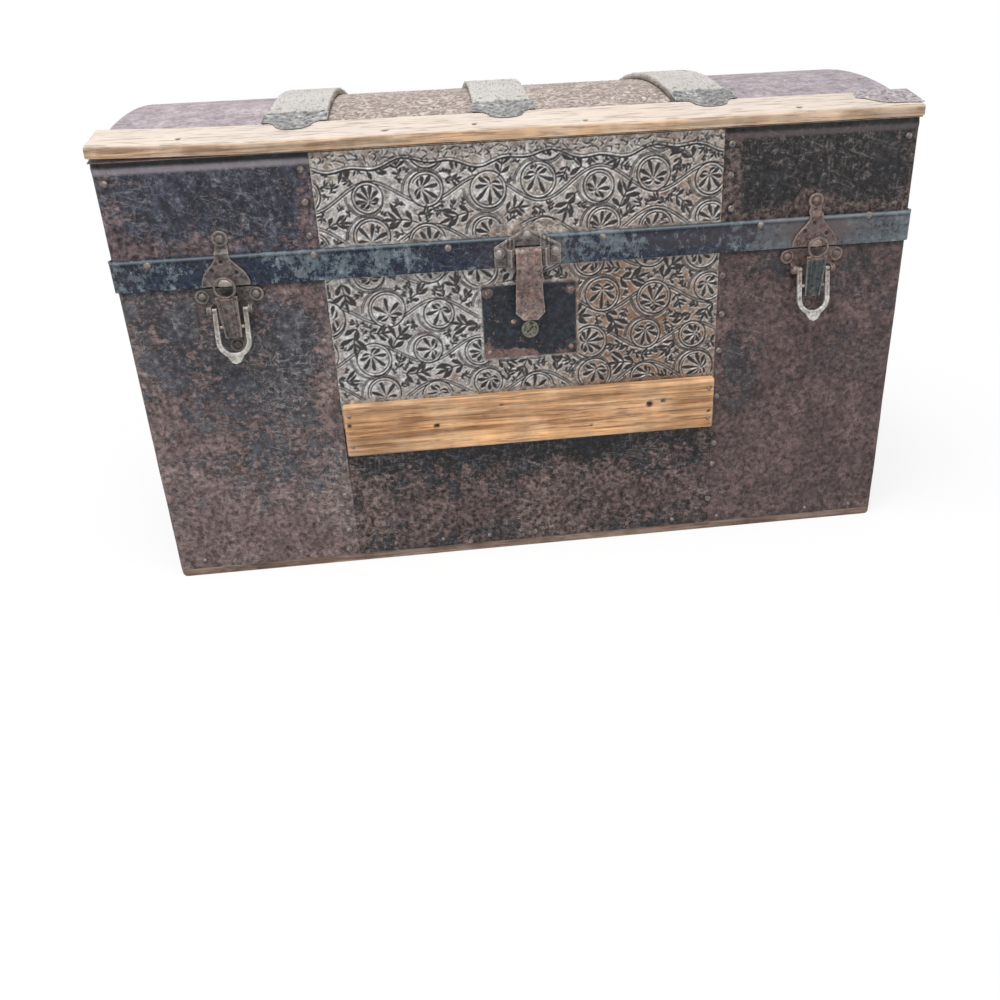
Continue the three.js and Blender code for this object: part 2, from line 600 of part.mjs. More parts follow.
// Base plate on the body: two riveted ears, two barrels for the bail and a riveted tail.
function makeLatchBase() {
  const back = -SEAT_GAP;
  const face = back - LATCH_SHEET;
  const plate = (outline) => prism(outline, 'y', face, back);
  const ears = [-1, 1].map((side) => plate(circle(side * BASE_EAR_OFFSET, -BASE_EAR_DROP, BASE_EAR_RADIUS)));
  const barrelInner = BAIL_HALF_SPAN + BAIL_BAR_WIDTH / 2 + SEAT_GAP;
  const barrelOuter = barrelInner + BAIL_BARREL_LENGTH;
  const yoke = plate(rectangle(
    -BASE_EAR_OFFSET, BASE_EAR_OFFSET, -BASE_EAR_DROP - BASE_EAR_RADIUS / 2, -BASE_TOP));
  const flange = plate(rectangle(
    -barrelOuter, barrelOuter, -BAIL_PIVOT_DROP - BAIL_BARREL_RADIUS, -BASE_EAR_DROP));
  const stem = plate([
    [-BASE_HALF_WIDTH, -BAIL_PIVOT_DROP],
    [-BASE_TAIL_RADIUS, -BASE_TAIL_DROP],
    [BASE_TAIL_RADIUS, -BASE_TAIL_DROP],
    [BASE_HALF_WIDTH, -BAIL_PIVOT_DROP],
  ]);
  const tail = plate(circle(0, -BASE_TAIL_DROP, BASE_TAIL_RADIUS));
  const rivets = [
    head(-BASE_EAR_OFFSET, face, -BASE_EAR_DROP, RIVET_RADIUS, RIVET_HEIGHT),
    head(BASE_EAR_OFFSET, face, -BASE_EAR_DROP, RIVET_RADIUS, RIVET_HEIGHT),
    head(0, face, -BASE_TAIL_DROP, RIVET_RADIUS, RIVET_HEIGHT),
  ];
  const barrels = [-1, 1].map((side) => {
    const [x0, x1] = side < 0 ? [-barrelOuter, -barrelInner] : [barrelInner, barrelOuter];
    const round = rod('x', -BAIL_PIVOT_STANDOFF, -BAIL_PIVOT_DROP, BAIL_BARREL_RADIUS, x0, x1);
    const web = block(x0, x1, -BAIL_PIVOT_STANDOFF, face,
      -BAIL_PIVOT_DROP - BAIL_BARREL_RADIUS, -BAIL_PIVOT_DROP + BAIL_BARREL_RADIUS);
    const bore = rod('x', -BAIL_PIVOT_STANDOFF, -BAIL_PIVOT_DROP, BAIL_PIN_RADIUS + PIN_CLEARANCE,
      x0 - OVERRUN, x1 + OVERRUN);
    return cut(join(round, web), bore);
  });
  return join(yoke, flange, stem, tail, ...ears, ...rivets, ...barrels);
}

// U-shaped bail about its pivot, hanging straight down, with the cross pin of the link.
function makeBail() {
  const halfBar = BAIL_BAR_WIDTH / 2;
  const halfDepth = BAIL_BAR_DEPTH / 2;
  const bow = BAIL_HALF_SPAN;
  const outer = BAIL_HALF_SPAN + halfBar;
  const inner = BAIL_HALF_SPAN - halfBar;
  const turn = bow - BAIL_REACH + halfBar;
  const loop = (radius, top) => [
    [radius, top],
    [-radius, top],
    ...arc(0, turn, radius, 180, 360, ROUND_STEPS),
  ];
  const ring = cut(
    prism(loop(outer, 0), 'y', -halfDepth, halfDepth),
    prism(loop(inner, OVERRUN), 'y', -halfDepth - OVERRUN, halfDepth + OVERRUN),
  );
  const bottom = turn - outer;
  const tabHalf = BAIL_TAB_WIDTH / 2;
  const tabShares = [[-1, 0.6], [-0.9, 0.1], [-0.5, -0.55], [0, -0.75], [0.5, -0.55], [0.9, 0.1], [1, 0.6]];
  const tabOutline = tabShares.map(([across, down]) => [across * tabHalf, bottom + down * BAIL_TAB_LENGTH]);
  const tab = prism(tabOutline, 'y', -halfDepth, halfDepth);
  const ends = [-1, 1].map((side) => {
    const eye = rod('x', 0, 0, halfBar, side * BAIL_HALF_SPAN - halfBar, side * BAIL_HALF_SPAN + halfBar);
    const reach = outer + BAIL_BARREL_LENGTH;
    const [x0, x1] = side < 0 ? [-reach, -BAIL_HALF_SPAN] : [BAIL_HALF_SPAN, reach];
    return join(eye, rod('x', 0, 0, BAIL_PIN_RADIUS, x0, x1));
  });
  const pin = rod('x', LINK_INSET, -LINK_ARM, BAIL_PIN_RADIUS, -BAIL_HALF_SPAN, BAIL_HALF_SPAN);
  return join(ring, tab, pin, ...ends);
}

// Link about the cross pin, standing straight up, with its eye round the boss.
function makeLink() {
  const pinDrop = BAIL_PIVOT_DROP + LINK_ARM;
  const pinStandoff = BAIL_PIVOT_STANDOFF - LINK_INSET;
  const back = pinStandoff - BAND_PROUD - SEAT_GAP - LATCH_SHEET - 2 * SEAT_GAP;
  const front = back - LINK_THICKNESS;
  const eyeHeight = pinDrop + BOSS_HEIGHT - (LINK_EYE_RADIUS - BOSS_RADIUS) + 2 * SEAT_GAP;
  const eyeOuter = LINK_EYE_RADIUS + LINK_EYE_WALL;
  const topHalf = LINK_TOP_WIDTH / 2;
  const tailHalf = LINK_TAIL_WIDTH / 2;
  const neck = eyeHeight - LINK_EYE_RADIUS;
  const stem = [[-tailHalf, -LINK_TAIL], [tailHalf, -LINK_TAIL], [topHalf, neck], [-topHalf, neck]];
  const ribShare = 0.55;
  const rib = stem.map(([x, z]) => [x * ribShare, Math.min(z, neck - LINK_EYE_WALL)]);
  const plate = join(
    prism(stem, 'y', front, back),
    prism(rib, 'y', front - LINK_RIB_HEIGHT, front + LINK_RIB_HEIGHT),
    rod('y', 0, eyeHeight, eyeOuter, front, back, 2 * ROUND_STEPS),
  );
  const eye = rod('y', 0, eyeHeight, LINK_EYE_RADIUS, front - OVERRUN, back + OVERRUN, 2 * ROUND_STEPS);
  const half = LINK_BARREL_LENGTH / 2;
  const barrel = join(
    rod('x', 0, 0, LINK_BARREL_RADIUS, -half, half),
    block(-half, half, back, 0, -BAIL_PIN_RADIUS, BAIL_PIN_RADIUS),
  );
  const bore = rod('x', 0, 0, BAIL_PIN_RADIUS + PIN_CLEARANCE, -LINK_TOP_WIDTH, LINK_TOP_WIDTH);
  return cut(join(plate, barrel), eye, bore);
}

function makeLatch(name, centre) {
  const seat = groupAt(centre, -SHEET_Y, BODY_HEIGHT);
  piece(`${name}_latch_keeper`, makeKeeper(), rustyIron, seat);
  piece(`${name}_latch_base`, makeLatchBase(), rustyIron, seat);
  const bailSeat = groupAt(0, -BAIL_PIVOT_STANDOFF, -BAIL_PIVOT_DROP, seat);
  bailSeat.rotation.x = -radians(BAIL_REST_LIFT);
  piece(`${name}_bail`, makeBail(), paleSteel, bailSeat);
  const linkSeat = groupAt(0, LINK_INSET, -LINK_ARM, bailSeat);
  linkSeat.rotation.x = -radians(BAIL_REST_LIFT * LINK_RATIO);
  piece(`${name}_link`, makeLink(), rustyIron, linkSeat);
}

// Peaked hasp plate on the band: two upright cheeks that hold the pin, a slot above the hasp.
function makeHaspPlate() {
  const back = -BAND_PROUD - SEAT_GAP;
  const face = back - HASP_SHEET;
  const half = HASP_PLATE_HALF_WIDTH;
  const outline = [
    [-half, HASP_PLATE_FOOT],
    [half, HASP_PLATE_FOOT],
    [half, HASP_PLATE_SHOULDER],
    [0, HASP_PLATE_PEAK],
    [-half, HASP_PLATE_SHOULDER],
  ];
  const plate = prism(outline, 'y', face, back);
  const axisY = face - HASP_BARREL_RADIUS - SEAT_GAP;
  const inner = HASP_TOP_WIDTH / 2 + SEAT_GAP;
  const cheekHalf = HASP_CHEEK_WIDTH / 2;
  const cheekTop = HASP_HINGE_HEIGHT + HASP_BARREL_RADIUS;
  const cheeks = [-1, 1].map((side) => {
    const centre = side * (inner + cheekHalf);
    const round = rod('z', centre, axisY, cheekHalf, HASP_PLATE_FOOT, cheekTop);
    const web = block(centre - cheekHalf, centre + cheekHalf, axisY, face, HASP_PLATE_FOOT, cheekTop);
    return join(round, web);
  });
  const pin = rod('x', axisY, HASP_HINGE_HEIGHT, HASP_PIN_RADIUS, -inner - SEAT_GAP, inner + SEAT_GAP);
  const rivetX = half - RIVET_RADIUS - HASP_SHEET;
  const rivets = [
    head(0, face, HASP_PLATE_PEAK - 2 * RIVET_RADIUS, RIVET_RADIUS, RIVET_HEIGHT),
    head(-rivetX, face, HASP_HINGE_HEIGHT, RIVET_RADIUS, RIVET_HEIGHT),
    head(rivetX, face, HASP_HINGE_HEIGHT, RIVET_RADIUS, RIVET_HEIGHT),
  ];
  const slot = block(-inner, inner, face - OVERRUN, back + OVERRUN, cheekTop, cheekTop + HASP_SLOT_HEIGHT);
  return join(cut(plate, slot), pin, ...cheeks, ...rivets);
}

// Distance from the hasp's pin to the front of the lock plate when pressed home.
const HASP_AXIS_STANDOFF = BAND_PROUD + 2 * SEAT_GAP + HASP_SHEET + HASP_BARREL_RADIUS;
const LOCK_FACE_STANDOFF = SEAT_GAP + LOCK_PLATE_SHEET;

// Hasp about its pin, hanging straight down, with its staple towards the lock.
function makeHasp() {
  const front = -HASP_BARREL_RADIUS;
  const low = HASP_AXIS_STANDOFF - LOCK_FACE_STANDOFF - SEAT_GAP;
  const bendTop = -HASP_HINGE_HEIGHT;
  const bendFoot = bendTop - HASP_BEND_SLOPE * (low - HASP_SHEET - front);
  const section = [
    [front + HASP_SHEET, 0],
    [front + HASP_SHEET, bendTop],
    [low, bendFoot],
    [low, -HASP_REACH],
    [low - HASP_SHEET, -HASP_REACH],
    [low - HASP_SHEET, bendFoot],
    [front, bendTop],
    [front, 0],
  ];
  const topHalf = HASP_TOP_WIDTH / 2;
  const footHalf = HASP_FOOT_WIDTH / 2;
  const outline = [
    [-topHalf, 0],
    [-topHalf, bendTop],
    [-footHalf, HASP_CLIP - HASP_REACH],
    [HASP_CLIP - footHalf, -HASP_REACH],
    [footHalf - HASP_CLIP, -HASP_REACH],
    [footHalf, HASP_CLIP - HASP_REACH],
    [topHalf, bendTop],
    [topHalf, 0],
  ];
  const strip = prism(section, 'x', -footHalf, footHalf);
  const strap = strip.intersect(prism(outline, 'y', -HASP_AXIS_STANDOFF, HASP_AXIS_STANDOFF));
  const barrel = rod('x', 0, 0, HASP_BARREL_RADIUS, -topHalf, topHalf);
  const bore = rod('x', 0, 0, HASP_PIN_RADIUS + PIN_CLEARANCE, -footHalf - OVERRUN, footHalf + OVERRUN);
  const drop = -HASP_HINGE_HEIGHT - STAPLE_DROP;
  const reach = HASP_AXIS_STANDOFF + CASE_CAVITY_DEPTH - STAPLE_CLEARANCE;
  const half = STAPLE_HEIGHT / 2;
  const width = STAPLE_THICKNESS / 2;
  const loopOutline = rectangle(low - HASP_SHEET, reach, drop - half, drop + half, STAPLE_ROUNDING);
  const loop = prism(loopOutline, 'x', -width, width);
  const gapStart = HASP_AXIS_STANDOFF - SEAT_GAP;
  const gap = block(-width - OVERRUN, width + OVERRUN, gapStart, reach - STAPLE_WALL,
    drop - half + STAPLE_WALL, drop + half - STAPLE_WALL);
  return join(cut(join(strap, barrel), bore), cut(loop, gap));
}

// Lock plate with its case behind, hollowed for the staple, the bolt and the plug.
function makeLock() {
  const face = -LOCK_FACE_STANDOFF;
  const left = -LOCK_PLATE_WIDTH / 2;
  const bottom = -LOCK_PLATE_TOP_DROP - LOCK_PLATE_HEIGHT;
  const plate = block(left, -left, face, -SEAT_GAP, bottom, -LOCK_PLATE_TOP_DROP);
  const pocket = lockPocket(0).translate([-LOCK_OFFSET, SHEET_Y, -BODY_HEIGHT]);
  const box = pocket.intersect(block(left, -left, -LOCK_FACE_STANDOFF, SHEET_Y, bottom, 0));
  const staple = STAPLE_HEIGHT / 2 + STAPLE_CLEARANCE;
  const slotHalf = STAPLE_THICKNESS / 2 + STAPLE_CLEARANCE;
  const slot = block(-slotHalf, slotHalf, face - OVERRUN, CASE_CAVITY_DEPTH,
    -STAPLE_DROP - staple, -STAPLE_DROP + staple);
  const travel = 2 * PLUG_CRANK * Math.sin(radians(PLUG_TURN / 2));
  const tip = -STAPLE_THICKNESS / 2 - BOLT_SETBACK;
  const guide = BOLT_HEIGHT / 2 + BOLT_GUIDE_CLEARANCE;
  const depth = BOLT_THICKNESS + 2 * BOLT_GUIDE_CLEARANCE;
  const channel = block(tip - BOLT_LENGTH - BOLT_GUIDE_CLEARANCE, tip + travel + BOLT_GUIDE_CLEARANCE,
    -SEAT_GAP, depth - SEAT_GAP, -STAPLE_DROP - guide, -STAPLE_DROP + guide);
  const forkX = -PLUG_CRANK * Math.sin(radians(PLUG_TURN / 2));
  const forkHalf = PLUG_PIN_RADIUS + PIN_CLEARANCE + BOLT_PRONG + BOLT_GUIDE_CLEARANCE;
  const heel = tip - BOLT_LENGTH - BOLT_GUIDE_CLEARANCE;
  const forkTop = BOLT_GUIDE_CLEARANCE - STAPLE_DROP - staple;
  const well = join(
    block(heel, forkX + travel + forkHalf, -SEAT_GAP, depth - SEAT_GAP,
      -PLUG_DROP - PLUG_NECK_RADIUS, forkTop),
    block(heel, heel + BOLT_ARM + travel + 2 * BOLT_GUIDE_CLEARANCE, -SEAT_GAP, depth - SEAT_GAP,
      forkTop - OVERRUN, -STAPLE_DROP),
  );
  const bore = PLUG_NECK_RADIUS + PIN_CLEARANCE;
  const hole = rod('y', 0, -PLUG_DROP, bore, face - OVERRUN, BOLT_GUIDE_CLEARANCE);
  return cut(join(plate, box), slot, channel, well, hole);
}

// Bolt that slides across behind the plate, with a fork for the plug's crank pin.
function makeBolt() {
  const tip = -STAPLE_THICKNESS / 2 - BOLT_SETBACK;
  const half = BOLT_HEIGHT / 2;
  const bar = block(tip - BOLT_LENGTH, tip, 0, BOLT_THICKNESS, -STAPLE_DROP - half, -STAPLE_DROP + half);
  const forkX = -PLUG_CRANK * Math.sin(radians(PLUG_TURN / 2));
  const pinZ = -PLUG_DROP + PLUG_CRANK * Math.cos(radians(PLUG_TURN / 2));
  const gapHalf = PLUG_PIN_RADIUS + PIN_CLEARANCE;
  const forkHalf = gapHalf + BOLT_PRONG;
  const heel = tip - BOLT_LENGTH;
  const forkTop = -STAPLE_DROP - STAPLE_HEIGHT / 2 - STAPLE_CLEARANCE;
  const arm = block(heel, heel + BOLT_ARM, 0, BOLT_THICKNESS, forkTop - BOLT_HEIGHT, -STAPLE_DROP);
  const fork = block(heel, forkX + forkHalf, 0, BOLT_THICKNESS, pinZ - PLUG_PIN_RADIUS, forkTop);
  const gap = block(forkX - gapHalf, forkX + gapHalf, -OVERRUN, BOLT_THICKNESS + OVERRUN,
    pinZ - PLUG_CRANK, -PLUG_DROP + PLUG_CRANK + gapHalf);
  return cut(join(bar, arm, fork), gap);
}

// Key plug about its own centre: flange, neck, crank pin and a slanting key slot.
function makePlug() {
  const face = -LOCK_FACE_STANDOFF - SEAT_GAP;
  const flange = rod('y', 0, 0, PLUG_FLANGE_RADIUS, face - PLUG_FLANGE_THICKNESS, face, 2 * ROUND_STEPS);
  const neckEnd = -SEAT_GAP;
  const neck = rod('y', 0, 0, PLUG_NECK_RADIUS, face - PLUG_FLANGE_THICKNESS / 2, neckEnd);
  const side = PLUG_CRANK * Math.sin(radians(PLUG_TURN / 2));
  const up = PLUG_CRANK * Math.cos(radians(PLUG_TURN / 2));
  const pin = rod('y', -side, up, PLUG_PIN_RADIUS, neckEnd - SEAT_GAP, BOLT_THICKNESS - SEAT_GAP);
  const halfLength = KEY_SLOT_LENGTH / 2;
  const halfWidth = KEY_SLOT_WIDTH / 2;
  const slot = prism(rectangle(-halfLength, halfLength, -halfWidth, halfWidth), 'y',
    face - PLUG_FLANGE_THICKNESS - OVERRUN, face - PLUG_FLANGE_THICKNESS + KEY_SLOT_DEPTH);
  return cut(join(flange, neck, pin), slot.rotate([0, -PLUG_TURN / 2, 0]));
}

function makeFastening() {
  const seat = groupAt(LOCK_OFFSET, -SHEET_Y, BODY_HEIGHT);
  piece('hasp_plate', makeHaspPlate(), rustyIron, seat);
  const haspSeat = groupAt(0, -HASP_AXIS_STANDOFF, HASP_HINGE_HEIGHT, seat);
  haspSeat.rotation.x = -radians(HASP_REST_LIFT);
  piece('hasp', makeHasp(), rustyIron, haspSeat);
  piece('lock_plate', makeLock(), blackIron, seat);
  piece('lock_bolt', makeBolt(), paleSteel, seat);
  const plugSeat = groupAt(0, 0, -PLUG_DROP, seat);
  piece('key_plug', makePlug(), dullBrass, plugSeat);
}

// Hinge leaves about the pin's middle, for the back face (+Y side).
const HINGE_STANDOFF = BAND_PROUD + SEAT_GAP + HINGE_BARREL_RADIUS;

function makeHingeLidLeaf() {
  const inner = SEAT_GAP - HINGE_STANDOFF + BAND_PROUD;
  const outer = inner + HINGE_SHEET;
  const half = HINGE_WIDTH / 2;
  const knuckle = HINGE_MIDDLE_KNUCKLE / 2;
  const clear = HINGE_BARREL_RADIUS + 2 * SEAT_GAP;
  const leaf = block(-half, half, inner, outer, clear, HINGE_LID_RISE);
  const tongue = block(-knuckle, knuckle, inner, outer, 0, clear);
  const barrel = rod('x', 0, 0, HINGE_BARREL_RADIUS, -knuckle, knuckle);
  const bore = rod('x', 0, 0, HINGE_PIN_RADIUS + PIN_CLEARANCE, -half, half);
  return cut(join(leaf, tongue, barrel), bore);
}

function makeHingeBodyLeaf() {
  const inner = SEAT_GAP - HINGE_STANDOFF;
  const outer = inner + HINGE_SHEET;
  const half = HINGE_WIDTH / 2;
  const knuckle = HINGE_MIDDLE_KNUCKLE / 2 + SEAT_GAP;
  const low = -HINGE_BARREL_RADIUS - SEAT_GAP;
  const leaf = block(-half, half, inner, outer, -HINGE_BODY_DROP, low);
  const ends = [-1, 1].map((side) => {
    const [x0, x1] = side < 0 ? [-half, -knuckle] : [knuckle, half];
    const round = rod('x', 0, 0, HINGE_BARREL_RADIUS, x0, x1);
    const arm = block(x0, x1, inner, 0, 2 * low, low + 2 * HINGE_PIN_RADIUS);
    return join(round, arm);
  });
  const pin = rod('x', 0, 0, HINGE_PIN_RADIUS, -half, half);
  return join(leaf, pin, ...ends);
}

function makeHinges() {
  for (const [name, side] of [['left', -1], ['right', 1]]) {
    const seat = groupAt(side * HINGE_OFFSET, SHEET_Y + HINGE_STANDOFF, BODY_HEIGHT);
    piece(`${name}_hinge_lid_leaf`, makeHingeLidLeaf(), rustyIron, seat);
    piece(`${name}_hinge_body_leaf`, makeHingeBodyLeaf(), rustyIron, seat);
  }
}

// Leather strap for the left end: flat ends under the caps, bowed out between them.
function makeHandleStrap() {
  const flat = HANDLE_SPAN / 2;
  const tuck = flat + HANDLE_CAP_LENGTH / 2;
  const rest = HANDLE_CAP_SHEET + SEAT_GAP;
  const line = (raise) => {
    const points = [[-tuck, -rest - raise]];
    for (let i = 0; i <= ROUND_STEPS; i += 1) {
      const share = i / ROUND_STEPS;
      const bow = HANDLE_BOW * Math.sin(Math.PI * share) ** HANDLE_BOW_POWER;
      points.push([(2 * share - 1) * flat, -rest - raise - bow]);
    }
    points.push([tuck, -rest - raise]);
    return points;
  };
  const section = [...line(0), ...line(HANDLE_STRAP_THICKNESS).reverse()];
  return prism(section.map(([y, x]) => [x, y]), 'z', -HANDLE_STRAP_WIDTH / 2, HANDLE_STRAP_WIDTH / 2);
}

// Stamped cap at the front end of the left handle, a sleeve open towards the strap.
function makeHandleCap() {
  const half = HANDLE_CAP_WIDTH / 2;
  const height = 2 * HANDLE_CAP_SHEET + HANDLE_STRAP_THICKNESS + 3 * SEAT_GAP;
  const length = HANDLE_CAP_LENGTH;
  const profile = [
    [-SEAT_GAP, 0],
    [-SEAT_GAP, -length],
    [-SEAT_GAP - HANDLE_CAP_SHEET, -length],
    [-SEAT_GAP - height, -length + HANDLE_CAP_CHAMFER],
    [-SEAT_GAP - height, 0],
  ];
  const shell = prism(profile, 'z', -half, half);
  const slot = HANDLE_STRAP_WIDTH / 2 + SEAT_GAP;
  const sleeve = block(-HANDLE_STRAP_THICKNESS - HANDLE_CAP_SHEET - 2 * SEAT_GAP, -HANDLE_CAP_SHEET,
    -HANDLE_CAP_LENGTH / 2 - SEAT_GAP, OVERRUN, -slot, slot);
  const outline = [
    [-half, 0],
    [-half, HANDLE_CAP_CHAMFER - length],
    [HANDLE_CAP_CHAMFER - half, -length],
    [half - HANDLE_CAP_CHAMFER, -length],
    [half, HANDLE_CAP_CHAMFER - length],
    [half, 0],
  ];
  const trim = prism(outline.map(([z, y]) => [y, z]), 'x', -SHEET_X, SHEET_X);
  return cut(shell.intersect(trim), sleeve);
}

function makeHandles() {
  const strap = makeHandleStrap();
  const cap = makeHandleCap().translate([0, -HANDLE_SPAN / 2, 0]);
  const flip = (shape) => shape.mirror([1, 0, 0]);
  for (const [name, side] of [['left', -1], ['right', 1]]) {
    const turn = side < 0 ? (shape) => shape : flip;
    const seat = groupAt(side * SHEET_X, 0, HANDLE_HEIGHT);
    piece(`${name}_handle`, turn(strap), leather, seat);
    piece(`${name}_handle_front_cap`, turn(cap), pewter, seat);
    piece(`${name}_handle_back_cap`, mirrorY(turn(cap)), pewter, seat);
  }
}

makeBody();
makeLid();
makeBand();
makeSlats();
makeLatch('left', LOCK_OFFSET - LATCH_OFFSET);
makeLatch('right', LOCK_OFFSET + LATCH_OFFSET);
makeFastening();
makeHinges();
makeHandles();

export default trunk;
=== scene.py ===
import math

import bmesh
import bpy
import numpy as np
from mathutils import Matrix, Vector, noise


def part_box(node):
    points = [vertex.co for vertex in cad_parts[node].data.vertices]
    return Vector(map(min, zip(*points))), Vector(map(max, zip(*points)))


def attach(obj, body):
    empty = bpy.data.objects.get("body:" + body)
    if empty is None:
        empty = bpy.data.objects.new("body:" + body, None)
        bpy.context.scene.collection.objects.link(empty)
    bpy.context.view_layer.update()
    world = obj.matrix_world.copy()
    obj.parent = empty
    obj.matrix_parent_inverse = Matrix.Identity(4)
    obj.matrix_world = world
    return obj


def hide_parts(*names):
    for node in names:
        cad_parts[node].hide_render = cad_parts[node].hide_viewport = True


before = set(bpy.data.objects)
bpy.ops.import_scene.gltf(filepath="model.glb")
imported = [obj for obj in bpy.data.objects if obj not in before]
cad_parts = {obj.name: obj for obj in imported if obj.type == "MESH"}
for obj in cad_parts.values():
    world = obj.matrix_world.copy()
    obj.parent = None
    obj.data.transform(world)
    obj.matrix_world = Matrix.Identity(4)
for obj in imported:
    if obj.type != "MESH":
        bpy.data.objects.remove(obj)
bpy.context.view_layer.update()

# A dome top trunk of pine boards, covered in painted sheet steel and pressed tin, with wooden slats over the
# dome and along the front, stamped steel clamps, two draw latches and a hasp lock. Lengths are in millimetres,
# apart from the stage's and camera's.
MM = 0.001
SEAM = 306                      # height of the joint between body and lid
CREST = 470                     # top of the dome's board
DOME_RADIUS = 468.1
DOME_CENTRE = CREST - DOME_RADIUS
HALF_LENGTH, HALF_DEPTH, CORNER = 377.5, 208.5, 7       # outline of the sheets from above
FRONT = -HALF_DEPTH
SHEET, JOIN = 0.7, 0.3          # thickness of the sheets, and the gap between neighbours
SIDE, PANEL = 189.15, 188.85    # where the end sheets stop, and the panels between them
LOW, TOP, LID_LOW = 8.3, 305.8, 306.2                   # edges of the body's sheets and of the lid's
SLATS = (("left", -203), ("middle", -10), ("right", 183))
BOSS = 307.2                    # height of the bosses that the links hook over
PLAIN = (1, 1, 1)
EASED = {"interpolation_type": "SMOOTHSTEP"}
TIMES, PLUS, TIMES_PLUS = ({"operation": kind} for kind in ("MULTIPLY", "ADD", "MULTIPLY_ADD"))


def linear(colour):
    """A hex colour as the eye sees it, turned to the light that it stands for."""
    parts = [int(colour[i:i + 2], 16) / 255 for i in (1, 3, 5)]
    return [p / 12.92 if p <= 0.04045 else ((p + 0.055) / 1.055) ** 2.4 for p in parts] + [1]


def add(tree, kind, settings=None, out=0, **inputs):
    """Adds a node, with its settings and with what goes in: a value, a colour or another node's output. Gives
    the output that is asked for."""
    node = tree.nodes.new("ShaderNode" + kind)
    for name, value in (settings or {}).items():
        setattr(node, name, value)
    for name, value in inputs.items():
        socket = node.inputs[int(name[1:]) if name[1:].isdigit() else name.replace("_", " ")]
        if isinstance(value, bpy.types.NodeSocket):
            tree.links.new(value, socket)
        else:
            socket.default_value = linear(value) if isinstance(value, str) else value
    return node.outputs[out]


def material(name):
    made = bpy.data.materials.new(name)
    made.use_nodes = True
    return made, made.node_tree, add(made.node_tree, "TexCoord", out="Object")


def speckle(tree, place, size, detail, rough=0.6, stretch=PLAIN, warp=0.0):
    """Noise with lumps of a size, which the stretch draws out along the axes where it is under 1."""
    spread = add(tree, "Mapping", Vector=place, Scale=stretch)
    return add(tree, "TexNoise", Vector=spread, Scale=1 / (size * MM), Detail=detail, Roughness=rough,
               Distortion=warp)


def patches(tree, place, size, low, high, detail=6, *more):
    """A mask of ragged patches of a size: 0 under the low share of the noise, 1 above the high one."""
    return add(tree, "MapRange", EASED, Value=speckle(tree, place, size, detail, *more), From_Min=low,
               From_Max=high)


def mottle(tree, colour, place, size, low, high, detail=3, stretch=PLAIN):
    """Darkens and lightens a colour in patches of a size, between two shares of its strength."""
    lumps = speckle(tree, place, size, detail, stretch=stretch)
    strength = add(tree, "MapRange", Value=lumps, From_Min=0.33, From_Max=0.67, To_Min=low, To_Max=high)
    grey = add(tree, "CombineColor", Red=strength, Green=strength, Blue=strength)
    return add(tree, "Mix", {"data_type": "RGBA", "blend_type": "MULTIPLY"}, 2, i0=1.0, i6=colour, i7=grey)


def layers(tree, colour, *steps):
    """Lays finishes over a colour, one after the other. Each step is a mask, the most of it that shows, and a
    colour. A mask is a node's output, or the name of a number that the mesh keeps for each point."""
    for mask, most, over in steps:
        if isinstance(mask, str):
            mask = add(tree, "Attribute", {"attribute_name": mask}, "Fac")
        part = add(tree, "Math", {"operation": "MULTIPLY", "use_clamp": True}, i0=mask, i1=most)
        colour = add(tree, "Mix", {"data_type": "RGBA"}, 2, i0=part, i6=colour, i7=over)
    return colour


def finish(made, colour, *reliefs, rough, metal=0.0, specular=0.5):
    """Joins a finish to its material. Each relief is a mask and how far the surface stands out where it is 1.
    rough and metal are numbers, or a mask with the values at its 0 and 1."""
    tree = made.node_tree
    shader = tree.nodes["Principled BSDF"]
    shader.inputs["Specular IOR Level"].default_value = specular
    tree.links.new(colour, shader.inputs["Base Color"])
    for key, value in (("Roughness", rough), ("Metallic", metal)):
        if isinstance(value, tuple):
            spread = add(tree, "MapRange", Value=value[0], To_Min=value[1], To_Max=value[2])
            tree.links.new(spread, shader.inputs[key])
        else:
            shader.inputs[key].default_value = value
    below = {}
    for mask, depth in reliefs:
        below = {"Normal": add(tree, "Bump", Height=mask, Distance=depth * MM, **below)}
        tree.links.new(below["Normal"], shader.inputs["Normal"])
    return made


def shows_paper(tree):
    """1 for the rays that show the background: from the camera, a reflection or through something clear."""
    path = add(tree, "LightPath").node.outputs
    both = add(tree, "Math", PLUS, i0=path["Is Camera Ray"], i1=path["Is Glossy Ray"])
    return add(tree, "Math", {"operation": "ADD", "use_clamp": True}, i0=both, i1=path["Is Transmission Ray"])


def show(made):
    bpy.context.scene.collection.objects.link(made)
    return made


